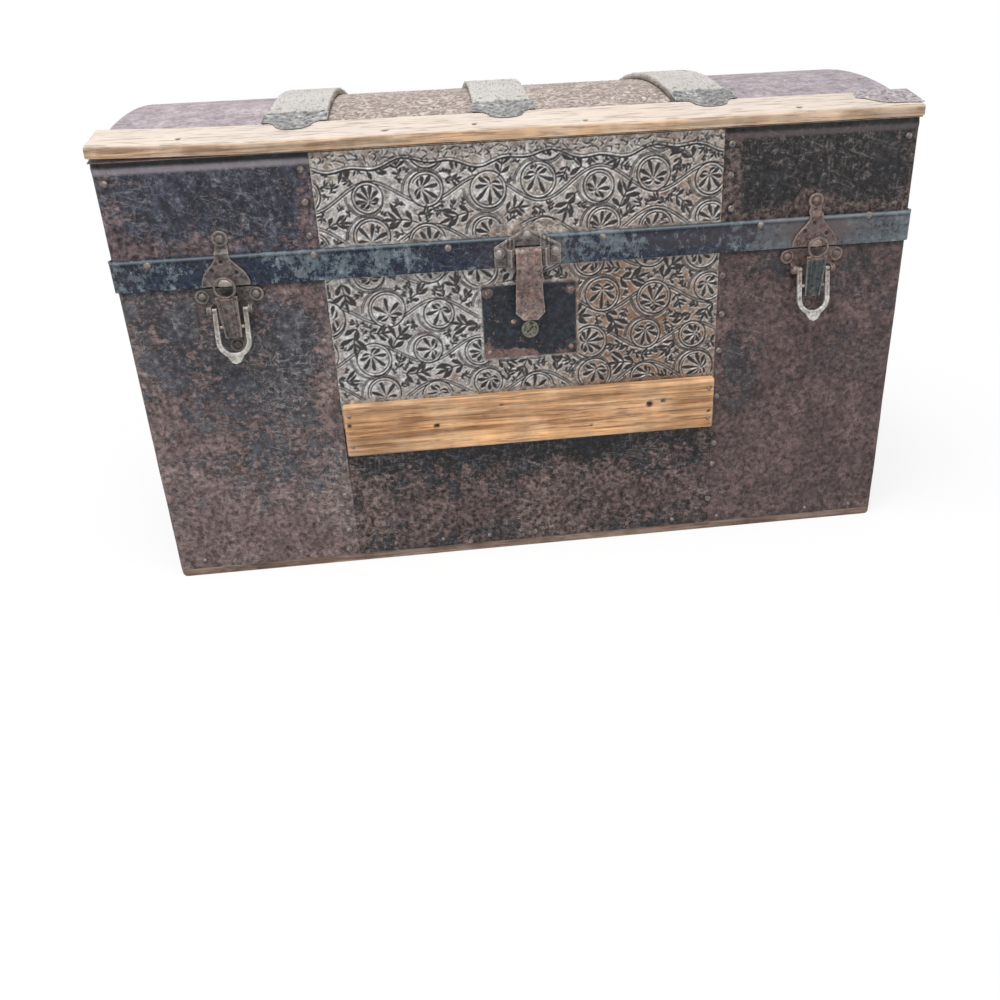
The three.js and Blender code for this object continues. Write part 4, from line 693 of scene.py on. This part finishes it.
def tin_marks(outer, deep, lip, out, step, warm=(), wiped=()):
    """What the finish of a pressed panel needs. Rows of the grids go up by a step. Dirt lies along the grooves'
    sides, and less in the middle of the wide ones. The raised lips and the slopes that face up get a painted
    highlight, and the slopes that face down get painted shade."""
    fall = np.gradient(out, axis=0) / step
    core = share_of(2.4 * blurred(deep, 3) - 1.3)
    flat = outer.reshape(-1, 3)
    marks = {"groove": deep * 1.7 - 0.2 - 0.5 * core, "lip": lip, "dust_and_painted_highlight": -fall * 1.9 - 0.1,
             "painted_shade_below": fall * 1.9 - 0.1, "warm": blots(flat, warm), "wiped": blots(flat, wiped)}
    return {name: share_of(values) for name, values in marks.items()}


def front_tin(node, z0, z1, step, seed, warm, wiped, calm, border=None, hole=None):
    """A pressed tin panel on the front. Its relief fades out where other metal lies on it."""
    x, z = np.meshgrid(shares(-PANEL, PANEL, step), shares(z0, z1, step))
    width, height = 2 * PANEL, (z1 - z0)
    sheet = scrollwork(width, height, seed)
    if border:
        border(sheet, width, height)
    out, deep, lip = tin_relief(sheet, x + PANEL, z - z0, seed)
    fade = share_of(np.minimum(PANEL - np.abs(x), np.minimum(z - z0, z1 - z)) / 1.5)
    for a0, a1, b0, b1 in calm:
        far = np.maximum(np.maximum(a0 - x, x - a1), np.maximum(b0 - z, z - b1))
        fade *= share_of(far / 2)
    holes = None
    if hole:
        a, b = ((g[:-1, :-1] + g[1:, 1:]) / 2 for g in (x, z))
        holes = (a > hole[0]) & (a < hole[1]) & (b > hole[2]) & (b < hole[3])
    outer = np.dstack([x, FRONT - out * fade, z])
    marks = tin_marks(outer, deep * fade, lip * fade, out * fade, step, warm, wiped)
    inner = np.dstack([x, 0 * x + FRONT + 0.85, z])
    sheet_piece(node + "_panel", node, FRONT_TIN, outer, inner, marks, 60, holes)


def ribbon(sheet, width, height):
    """Border along the panel's top: a plain waved ribbon, and above it fine swirls like those of marbled paper."""
    rng = np.random.default_rng(5)
    u = np.arange(0, width + 3, 2.5)
    low = height - 15 - 3.8 * np.sin(u / 19) - 2.2 * np.sin(u / 7.3)
    for a, v in zip(u, low):
        clear(sheet, (a, v + 9), 9.4)
    groove(sheet, np.stack([u, low], 1), 1.4)
    groove(sheet, np.stack([u, low + 2.6], 1), 0.7)
    for a in np.arange(2, width, 4.4):
        for v in (height - 9.5, height - 4.5):
            root = (a + rng.uniform(-1.5, 1.5), v + rng.uniform(-1.5, 1.5))
            swirl = curve(root, rng.uniform(-0.7, 0.9), rng.uniform(4, 7), rng.uniform(-2.6, 2.6))
            groove(sheet, swirl, 0.4, 1.2, 0.4)


def arch(x0, x1, step, turn_step):
    """A grid over the dome: x, the share of the way from its middle to an edge, angle, way out, and places."""
    x, t = np.meshgrid(shares(x0, x1, step), shares(-1, 1, turn_step))
    angle = t * math.asin(HALF_DEPTH / DOME_RADIUS)
    way = np.dstack([0 * x, np.sin(angle), np.cos(angle)])
    surface = np.array([0, 0, DOME_CENTRE]) + DOME_RADIUS * way
    surface[..., 0] = x
    return x, t, angle, way, surface


def dome_tin():
    """The tin over the dome, between the end sheets. Its relief fades out at its edges and under the slats."""
    turn_step, seed = 0.0068, 31
    x, t, angle, way, surface = arch(-PANEL, PANEL, 1.4, turn_step)
    sheet = scrollwork(378, 430, seed)
    out, deep, lip = tin_relief(sheet, x + PANEL, (angle - angle.min()) * DOME_RADIUS, seed)
    fade = share_of(np.minimum(PANEL - np.abs(x), (1 - np.abs(t)) * HALF_DEPTH) / 3)
    under = np.zeros_like(x)
    for _, middle in SLATS:
        under = np.maximum(under, share_of((31 - np.abs(x - middle)) / 2))
    out = out * fade * (1 - under)
    marks = tin_marks(surface, deep * fade, lip * fade, out, turn_step * angle.max() * DOME_RADIUS)
    sheet_piece("lid_top_tin_panel", "lid_top_tin", DOME_TIN,
                surface + (out - 0.1)[..., None] * way, surface - SHEET * way, marks, 60)


LID_WARM = ((150, 375, 60, 60, 0.6), (-60, 350, 50, 22, 0.3), (40, 345, 60, 20, 0.35), (-170, 410, 40, 20, 0.2))
BODY_WARM = ((125, 225, 105, 110, 1.0), (-150, 290, 30, 20, 0.2), (-60, 200, 40, 16, 0.2), (70, 290, 40, 30, 0.5))
front_tin("lid_front_tin", LID_LOW, 419.5, 0.8, 11, LID_WARM, ((-110, 380, 60, 30, 0.4),),
          ((-190, 190, 300, 336), (-30, 34, 306, 345)), ribbon)
front_tin("body_front_tin", 153.7, TOP, 0.85, 23, BODY_WARM, ((-115, 230, 70, 70, 0.9),),
          ((-45, 49, 215, 290), (-190, 190, 120, 182)), hole=(-20, 22, 235, 277))
dome_tin()


def dents(points, seed, depth=0.5):
    """Shallow hammering and swelling of a thin sheet over its boards, outwards only."""
    flat = points.reshape(-1, 3)
    lumps = cloud(flat, 90, seed) + 0.5 * cloud(flat, 28, seed + 1)
    return (np.clip(lumps + 0.35, 0, 1.5) * depth).reshape(points.shape[:-1])


def swelling(seed, depth=0.5):
    return lambda points: dents(points, seed, depth)


def front_only(points, value):
    return value * (points[..., 1] < FRONT + 3)


def left_lift(points):
    """Swelling, and the long free edge of the left sheet, which has sprung off the front."""
    x, z = points[..., 0], points[..., 2]
    spring = share_of((x + 206) / 14) ** 2
    along = np.exp(-((z - 125) / 32) ** 2) * 2.6 + np.exp(-((z - 260) / 30) ** 2) * 0.8
    return dents(points, 3) + front_only(points, spring * along)


def rim_share(points):
    """The folded rim of the dome's sheet, rubbed pale, along the top of the lid's walls."""
    under = dome(points[..., 1]) - points[..., 2]
    return np.clip(1.5 - np.abs(under - 8) / 2.4, 0, 1) * 0.75


def lid_lift(seed):
    return lambda points: dents(points, seed, 0.35) + rim_share(points) * 0.5


def lid_top(y):
    return dome(y, -1.0)


def wrapped(name, node, span, high, skin, lift, spots, base):
    """A sheet round part of the body or the lid, with its paint, and painted shadow below its nails, along the
    seam under the band and, on the lid, along its top under the edge slats.
    """
    on_lid = name.startswith("lid")
    outer, inner = wall(*span, LID_LOW if on_lid else LOW, high, 4, lift)
    flat = np.concatenate([outer, inner]).reshape(-1, 3)
    marks = {"paint": base + blots(flat, spots)}
    # Painted shade: a dark line just under the band's lower edge.
    shade = 0.75 * share_of(1.6 - np.abs(305.2 - flat[:, 2]) / 0.9)
    if on_lid:
        marks["bare"] = rim_share(flat)
        # Painted shadow along the lid sheet's top, under the overhanging edge slat.
        shade = np.maximum(shade, np.clip(5.2 - (dome(flat[:, 1]) - flat[:, 2]), 0, 0.85))
    # Painted shadows below the nail heads, on the front only.
    marks["dirt_and_painted_shade"] = np.maximum(shade, front_only(flat, np.clip(blots(flat, NAIL_SHADOWS), 0, 0.7)))
    sheet_piece(name, node, skin, outer, inner, marks)


# Nails on the front, by x and height over the seam.
SHEET_NAILS = ((-367, 97), (-197, 71), (-197, 41), (196, 72), (198, 41), (-197, 100), (196, 100), (366, 98))
BAND_NAILS = ((-344, 24), (-195, 24), (-72, 22), (74, 23), (227, 24), (334, 27))
SEAM_NAILS = ((-194, -23), (-197, -60), (-197, -95), (-197, -227), (-196, -247), (-197, -268), (-200, -291),
              (193, -23), (194, -62), (193, -203), (192, -227), (189, -269), (193, -100), (193, -150))
# Where the enamel has kept (above 0) or rusted away (below 0).
HALOS = tuple((x, z + SEAM, 5, 5, -0.35) for x, z in SHEET_NAILS + SEAM_NAILS)
# Painted shadows just below the nail heads, darkening the sheets.
NAIL_SHADOWS = tuple((x, z + SEAM - 0.8, 3.9, 3.9, 0.9) for x, z in SHEET_NAILS + SEAM_NAILS)
LEFT_BODY_PAINT = ((-275, 225, 60, 60, 0.55), (-340, 270, 40, 50, 0.5), (-225, 250, 25, 50, 0.6),
                   (-240, 120, 60, 50, 0.35), (-330, 120, 50, 30, 0.2), (-270, 40, 120, 34, -0.35)) + HALOS
RIGHT_BODY_PAINT = ((215, 190, 20, 60, 0.6), (300, 120, 90, 30, -0.2), (250, 290, 50, 14, 0.5),
                    (330, 200, 60, 80, 0.2), (340, 280, 40, 20, 0.3)) + HALOS
LOW_PAINT = ((-100, 120, 130, 18, 0.45), (60, 112, 80, 18, 0.4), (0, 50, 250, 26, -0.45))
LEFT_LID_PAINT = ((-262, 385, 80, 35, 0.25), (-196, 355, 9, 50, -0.6), (-300, 342, 90, 9, -0.5),
                  (-365, 370, 16, 40, -0.4)) + HALOS
RIGHT_LID_PAINT = ((198, 355, 11, 60, -0.9), (374, 360, 8, 60, -0.7), (290, 340, 90, 8, -0.9),
                   (281, 350, 18, 16, -0.9), (290, 390, 70, 24, 0.25)) + HALOS
BAND_RUST = ((-277, 322, 14, 20, 0.5), (281, 322, 28, 20, 0.6), (2, 322, 40, 20, 0.5), (-370, 318, 14, 12, 0.2),
             (-344, 330, 5, 5, 0.6), (-195, 330, 5, 5, 0.5), (290, 322, 90, 20, 0.6), (150, 322, 60, 9, 0.3))
# Which part of the outline each sheet covers.
LEFT_SPAN, RIGHT_SPAN = (HALF_TURN + SIDE, ROUND - SIDE), (SIDE, HALF_TURN - SIDE)
BACK_SPAN = (HALF_TURN - SIDE + JOIN, HALF_TURN + SIDE - JOIN)
FRONT_SPAN = (-SIDE + JOIN + ROUND, SIDE - JOIN + ROUND)
for sheet in (
        ("body_left_wrap", "body_left_sheet", LEFT_SPAN, TOP, BODY_ENAMEL, left_lift, LEFT_BODY_PAINT, 0.1),
        ("body_right_wrap", "body_right_sheet", RIGHT_SPAN, TOP, RIGHT_BODY_ENAMEL, swelling(5),
         RIGHT_BODY_PAINT, 0.05),
        ("body_back_wrap", "body_back_sheet", BACK_SPAN, TOP, BACK_ENAMEL, swelling(6, 0.3), (), 0.3),
        ("body_low_front_sheet", "body_front_low_sheet", FRONT_SPAN, 153.3, LOW_ENAMEL, swelling(8, 0.25),
         LOW_PAINT, 0.3),
        ("lid_left_wrap", "lid_left_sheet", LEFT_SPAN, lid_top, LID_ENAMEL, lid_lift(12), LEFT_LID_PAINT, 0.45),
        ("lid_right_wrap", "lid_right_sheet", RIGHT_SPAN, lid_top, RIGHT_LID_ENAMEL, lid_lift(13),
         RIGHT_LID_PAINT, 0.45),
        ("lid_back_wrap", "lid_back_sheet", BACK_SPAN, lid_top, BACK_ENAMEL, lid_lift(14), (), 0.4)):
    wrapped(*sheet)


def band():
    """The painted strip of steel round the lid's lower edge, joined at the back, with a bead along its top."""
    (_, near, low), (_, _, high) = np.array(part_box("lid_band")) / MM

    def bead(points):
        return share_of(1 - np.abs(high - 1.6 - points[..., 2]) / 1.5)

    def lift(points):
        return FRONT - near - 0.45 + 0.45 * bead(points) - 0.4 * dents(points, 19, 0.6)

    outer, inner = wall(HALF_TURN + JOIN, HALF_TURN + ROUND - JOIN, low, high, 1.4, lift)
    flat = np.concatenate([outer, inner]).reshape(-1, 3)
    x, z = flat[:, 0], flat[:, 2]
    marks = {"paint": 0.12 + 0.16 * np.sin(x / 37) + 0.4 * share_of((x - 150) / 90), "bare": 0.8 * bead(flat),
             # Painted shade: a dark line just below the bead.
             "dirt_and_painted_shade": 0.6 * share_of(1.5 - np.abs(high - 4.4 - z) / 0.9),
             "tarnish": np.clip(blots(flat, BAND_RUST), 0, 0.85)}
    sheet_piece("lid_band_strip", "lid_band", BAND_PAINT, outer, inner, marks)


def dome_sheet(side, x0, x1, seed):
    """One end of the dome's cover, a smooth sheet nailed over the boards. It lies flat by its slat and edges."""
    x, t, _, way, surface = arch(x0, x1, 4, 0.02)
    from_slat = share_of((np.abs(np.abs(x + 10) - 193) - 33) / 8)
    out = dents(surface, seed, 0.25) * from_slat * share_of((1 - np.abs(t)) * 12 - 1.6)
    sheet_piece(f"lid_top_{side}_cover", f"lid_top_{side}_sheet", TOP_ENAMEL,
                surface + (out - 0.05)[..., None] * way, surface - SHEET * way,
                {"paint": 0.2 + 0.5 * cloud(surface.reshape(-1, 3), 120, seed)})


band()
dome_sheet("left", -HALF_LENGTH, -SIDE, 16)
dome_sheet("right", SIDE, HALF_LENGTH, 17)

# The boards keep the CAD's shapes, and get a finish alone.
for skin, boards in ((PINE, ("front_board", "back_board", "left_end_board", "right_end_board", "lid_front_rail",
                             "lid_back_rail", "lid_left_end", "lid_right_end", "lid_top_board")),
                     (FOOT_PINE, ("bottom_board",))):
    for board in boards:
        for holder in bpy.data.objects[board].material_slots:
            holder.material = skin


def knots(points, spots, across):
    """Depth of dark knots and nail holes, from x, the place along the other axis, radius and strength."""
    total = np.zeros(len(points))
    for x, other, size, strength in spots:
        far = np.hypot(points[:, 0] - x, (points[:, across] - other) * 1.3)
        total = np.maximum(total, strength * share_of(3 - 2.4 * far / size))
    return total


def worn_wood(node, body, skin, seed, cell, axis=0, holes=(), across=1, lift=None):
    """A slat with rounded, uneven edges and hollows along its grain, and dark nail holes and knots."""
    grain = np.array([0.12 if i == axis else 1.0 for i in range(3)])

    def shape(points, normals):
        run = cloud(points * grain, 6, seed, 2)
        wave = cloud(points, 70, seed + 1)
        return (-0.35 * np.abs(run) + 0.35 * np.minimum(wave, 0) - 1.2 * knots(points, holes, across))

    mesh = cast(node, cell, body, skin, shape, 60)
    points = read(mesh)
    mark(mesh, "dirt_and_painted_shade", share_of(knots(points, holes, across) * 1.1))
    if lift:
        points[:, 2] += lift(points)
        move_to(mesh, points)


def sprung(points):
    """How far the left end of the front edge slat has lifted off the lid."""
    return 3.2 * share_of((-points[:, 0] - 238) / 140) ** 1.3


worn_wood("front_slat", "body", FRONT_OAK, 41, 1.8, across=2,
          holes=((-96, 153, 2.6, 1), (120, 158, 3.4, 1), (134, 160, 2.4, 0.8), (182, 170, 2.0, 1),
                 (-182, 160, 1.8, 1), (182, 145, 2.0, 1), (-30, 170, 1.6, 0.7), (60, 140, 1.6, 0.7)))
worn_wood("front_edge_slat", "lid", EDGE_OAK, 43, 2, lift=sprung,
          holes=((-120, -203, 3.0, 0.8), (-40, -200, 2.4, 0.7), (60, -205, 2.4, 0.7), (260, -203, 2.6, 0.8),
                 (-300, -200, 2.4, 0.8)))
worn_wood("back_edge_slat", "lid", EDGE_OAK, 44, 2.6)
for seed, (side, middle) in enumerate(SLATS, 45):
    worn_wood(side + "_cross_slat", "lid", CROSS_OAK, seed, 2.2, 1,
              [(middle + dx, y, 1.8, 0.9) for dx in (-19, 19) for y in (-135, -45, 45, 135)])


def clamp_shape(middle, seed, back=1):
    """Pressed ridges that ripple across a clamp like the rays of a shell, and the crumples of a hundred years."""
    def shape(points, normals):
        x = points[:, 0] - middle
        y = back * points[:, 1] + 193
        bend = 6.0 * np.cos(x / 12.0) + 2.6 * np.sin(x / 4.6 + seed) + 2.2 * cloud(points, 13, seed)
        ripple = 1 - 2 * np.abs(np.sin((y + bend) / 3.4 + 0.8 * np.sin(x / 9.0 + seed)))
        crumple = cloud(points, 7, seed + 3, 2)
        return (0.85 * ripple + 0.7 * crumple - 0.5) * share_of(normals[:, 2] * 1.6 - 0.5)
    return shape


def crumpled(points, normals):
    return (0.8 * cloud(points, 11, 58, 2) - 0.5) * share_of(normals[:, 2])


for seed, (side, middle) in enumerate(SLATS, 51):
    cast(side + "_front_clamp", 0.65, "lid", CLAMP_STEEL, clamp_shape(middle, seed))
    cast(side + "_back_clamp", 0.8, "lid", CLAMP_STEEL, clamp_shape(middle, seed + 5, -1))
cast("corner_clamp", 0.6, "lid", CORNER_STEEL, crumpled)


def away(points, x, z):
    """How far each point is from a place on the front."""
    return np.hypot(points[:, 0] - x, points[:, 2] - z)


def rings(points, spots, radius):
    """Pressed washer rings about rivets, given as x and height."""
    total = np.zeros(len(points))
    for x, z in spots:
        total = np.maximum(total, share_of(1 - np.abs(away(points, x, z) - radius) / 0.9))
    return total


def bowl(points, x, z, size):
    """A round dimple of a size."""
    return share_of(1 - away(points, x, z) / (size / 2))


def pressed(seed, depth, lumps=lambda points: 0):
    """A shape for rough metal. lumps(points) is how far its front stands out."""
    def shape(points, normals):
        return lumps(points) * share_of(-normals[:, 1]) + depth * cloud(points, 3, seed, 2)
    return shape


DIMPLES = ((-10.5, 322), (-1.5, 329.5), (11, 319))      # in each keeper, from the latch's middle


def latch(side, x0, iron, link_iron, boss, seed):
    """Dresses one draw latch. The keeper's belly stays clear of the boss, where the link's eye goes."""
    def keeper_lumps(points):
        lumps = rings(points, ((x0, 349.5),), 6.0) * 0.5
        for dx, z in DIMPLES:
            lumps = lumps - 1.1 * bowl(points, x0 + dx, z, 5.5)
        return lumps + bowl(points, x0, 312, 34) * share_of((away(points, x0, BOSS) - 12.5) / 4)

    def base_lumps(points):
        ears = ((x0 - 24.5, 297.5), (x0 + 24.5, 297.5))
        return 0.6 * (rings(points, ears, 5.6) + rings(points, ((x0, 250),), 5.8))

    def flutes(points):
        return 0.3 * np.cos((points[:, 0] - x0) * 0.8) * share_of((296 - points[:, 2]) / 4)

    keeper = cast(side + "_latch_keeper", 0.5, "lid", iron, pressed(seed, 0.12, keeper_lumps))
    points = read(keeper)
    holes = sum(bowl(points, x0 + dx, z, 5.0) for dx, z in DIMPLES)
    mark(keeper, "dirt_and_painted_shade", share_of(holes * 1.6))
    far = away(points, x0, BOSS)
    knob = (points[:, 1] < -215.0) & (far < 8.2)
    mark(keeper, "pale", np.where(knob, np.where(far > 5.8, 1.0, boss), 0.0))
    cast(side + "_latch_base", 0.55, "body", iron, pressed(seed + 1, 0.12, base_lumps))
    node = side + "_link"
    link = cast(node, 0.45, node, link_iron, pressed(seed + 2, 0.12, flutes))
    mark(link, "rust", share_of((read(link)[:, 2] - 293) / 3))
    node = side + "_bail"
    bail = cast(node, 0.5, node, BAIL_STEEL, pressed(seed + 3, 0.08))
    mark(bail, "rust", share_of((read(bail)[:, 2] - 255) / 30))


latch("left", -277, LATCH_LEFT, LATCH_LEFT, 0.75, 61)
latch("right", 281, LATCH_RIGHT, SLATE_LINK, 0.6, 71)

HASP_RIVETS = ((-24.5, 320), (28.5, 320))
PLATE_NAILS = ((-38, 282), (42, 281), (-38, 222), (42, 223), (-14, 252))
PLATE_RUST = ((-20, 217, 30, 8, 1.4), (-40, 225, 5, 20, 0.6), (35, 219, 12, 5, 0.5), (-38, 282, 6, 6, 0.9),
              (42, 281, 6, 6, 0.7))


def hasp_plate_lumps(points):
    """A bevel under the plate's roof, rings about its rivets, and ribs beside the hasp's pin."""
    x, z = np.abs(points[:, 0] - 2), points[:, 2] - SEAM
    slope = 37 - x * 17 / 31.5 - z
    bevel = share_of(1 - np.abs(slope - 2.2) / 1.6) * (z > 16) + rings(points, HASP_RIVETS, 4.6)
    return 0.6 * bevel + 0.35 * np.cos((x - 12.3) * 2 * math.pi / 4) * (x > 12) * (x < 21)


def lock_lumps(points):
    return 0.25 * cloud(points, 26, 83) + rings(points, PLATE_NAILS, 4.2) * 0.3


cast("hasp", 0.5, "hasp", HASP_IRON, pressed(81, 0.2))
plate = cast("hasp_plate", 0.5, "lid", HASP_PLATE_IRON, pressed(82, 0.15, hasp_plate_lumps))
# Painted highlights: the domed rivet heads are made pale towards their middles.
heads = sum(bowl(read(plate), x, z, 9) for x, z in HASP_RIVETS + ((2, 336.2),))
mark(plate, "pale", np.clip(2.5 * heads, 0, 0.6))
lock = cast("lock_plate", 0.7, "body", LOCK_IRON, pressed(84, 0.06, lock_lumps))
mark(lock, "rust", share_of(blots(read(lock), PLATE_RUST)))
cast("key_plug", 0.4, "key_plug", PLUG_BRASS)
cast("lock_bolt", 0.6, "lock_bolt", BAIL_STEEL)


def strap_shape(seed):
    return lambda points, normals: 0.6 * cloud(points, 22, seed) + 0.25 * cloud(points, 5, seed + 1, 2) - 0.9


for side in ("left", "right"):
    for body in ("body", "lid"):
        cast(f"{side}_hinge_{body}_leaf", 0.7, body, LATCH_LEFT)
for seed, side in ((91, "left"), (95, "right")):
    cast(side + "_handle", 1.0, "body", LEATHER, strap_shape(seed))
    for end in ("front", "back"):
        cast(f"{side}_handle_{end}_cap", 0.7, "body", LATCH_LEFT, pressed(seed + 2, 0.2))

TACK = ((1.0, -0.15), (1.0, 0.1), (0.9, 0.45), (0.62, 0.82), (0.3, 0.97))       # share of radius, share of height
TACK_SIDES = 12


def tacks(name, body, radius, spots, skin=NAIL_STEEL):
    """Low domed heads of tacks, each given by its place and the way that it faces."""
    made = bmesh.new()
    tall = 0.55 * radius
    turns = [2 * math.pi * i / TACK_SIDES for i in range(TACK_SIDES)]
    for place, way in spots:
        base, turn = Vector(place), Vector(way).normalized().to_track_quat("Z", "Y")
        tilt = Vector((noise.noise(base / 9) * 0.12, noise.noise(base / 7) * 0.12, 0))
        circles = [[made.verts.new(base + turn @ (Vector((*polar((0, 0), radius * wide, t), up * tall))
                                                  + up * tall * tilt)) for t in turns] for wide, up in TACK]
        crown = made.verts.new(base + turn @ Vector((0, 0, tall)))
        for low, high in zip(circles, circles[1:]):
            for i in range(TACK_SIDES):
                made.faces.new((low[i], low[i - TACK_SIDES + 1], high[i - TACK_SIDES + 1], high[i]))
        for i in range(TACK_SIDES):
            made.faces.new((circles[-1][i], circles[-1][i - TACK_SIDES + 1], crown))
        made.faces.new(list(reversed(circles[0])))
    mesh = bpy.data.meshes.new(name)
    made.to_mesh(mesh)
    made.free()
    mesh.transform(Matrix.Scale(MM, 4))
    mark(mesh, "ridge", share_of(curvature(mesh) * 0.6))
    smooth(mesh, 60)
    piece(name, mesh, body, skin)


def on_front(pairs, lift, over=0):
    return [((x, FRONT - lift, over + z), (0, -1, 0)) for x, z in pairs]


def behind(xs, ys, lift, z):
    """Places at a height along the back and both ends."""
    ends = [((way * (HALF_LENGTH + lift), y, z), (way, 0, 0)) for way in (-1, 1) for y in ys]
    return [((x, HALF_DEPTH + lift, z), (0, 1, 0)) for x in xs] + ends


def over_slats():
    """Places in two rows along each slat over the dome."""
    for x in (middle + dx for _, middle in SLATS for dx in (-19, 19)):
        for y in (-100, -20, 60, 140):
            angle = math.asin(y / DOME_RADIUS)
            way = (0, math.sin(angle), math.cos(angle))
            reach = DOME_RADIUS + 6.1
            yield (x, reach * way[1], DOME_CENTRE + reach * way[2]), way


FOOT_ROW = range(-350, 351, 50)
tacks("lid_sheet_nails", "lid", 3.2, on_front(SHEET_NAILS, 0.1, SEAM))
tacks("lid_band_nails", "lid", 3.4, on_front(BAND_NAILS, 2.9, SEAM))
tacks("body_seam_nails", "body", 3.1, on_front(SEAM_NAILS, 0.15, SEAM))
tacks("body_foot_nails", "body", 2.1, on_front([(x, 16 + 1.5 * math.sin(x)) for x in FOOT_ROW], 0.1)
      + behind(FOOT_ROW, range(-180, 181, 45), 0.1, 16))
tacks("lid_band_back_nails", "lid", 2.8, behind(range(-330, 331, 110), range(-160, 161, 80), 2.4, SEAM + 15))
tacks("cross_slat_nails", "lid", 2.2, over_slats())
tacks("lock_plate_nails", "body", 2.8, on_front(PLATE_NAILS, 1.6), RUSTY_NAIL)
tacks("front_slat_nails", "body", 2, on_front([(x, z) for x in (-181, 181) for z in (170, 137)], 10.2), RUSTY_NAIL)
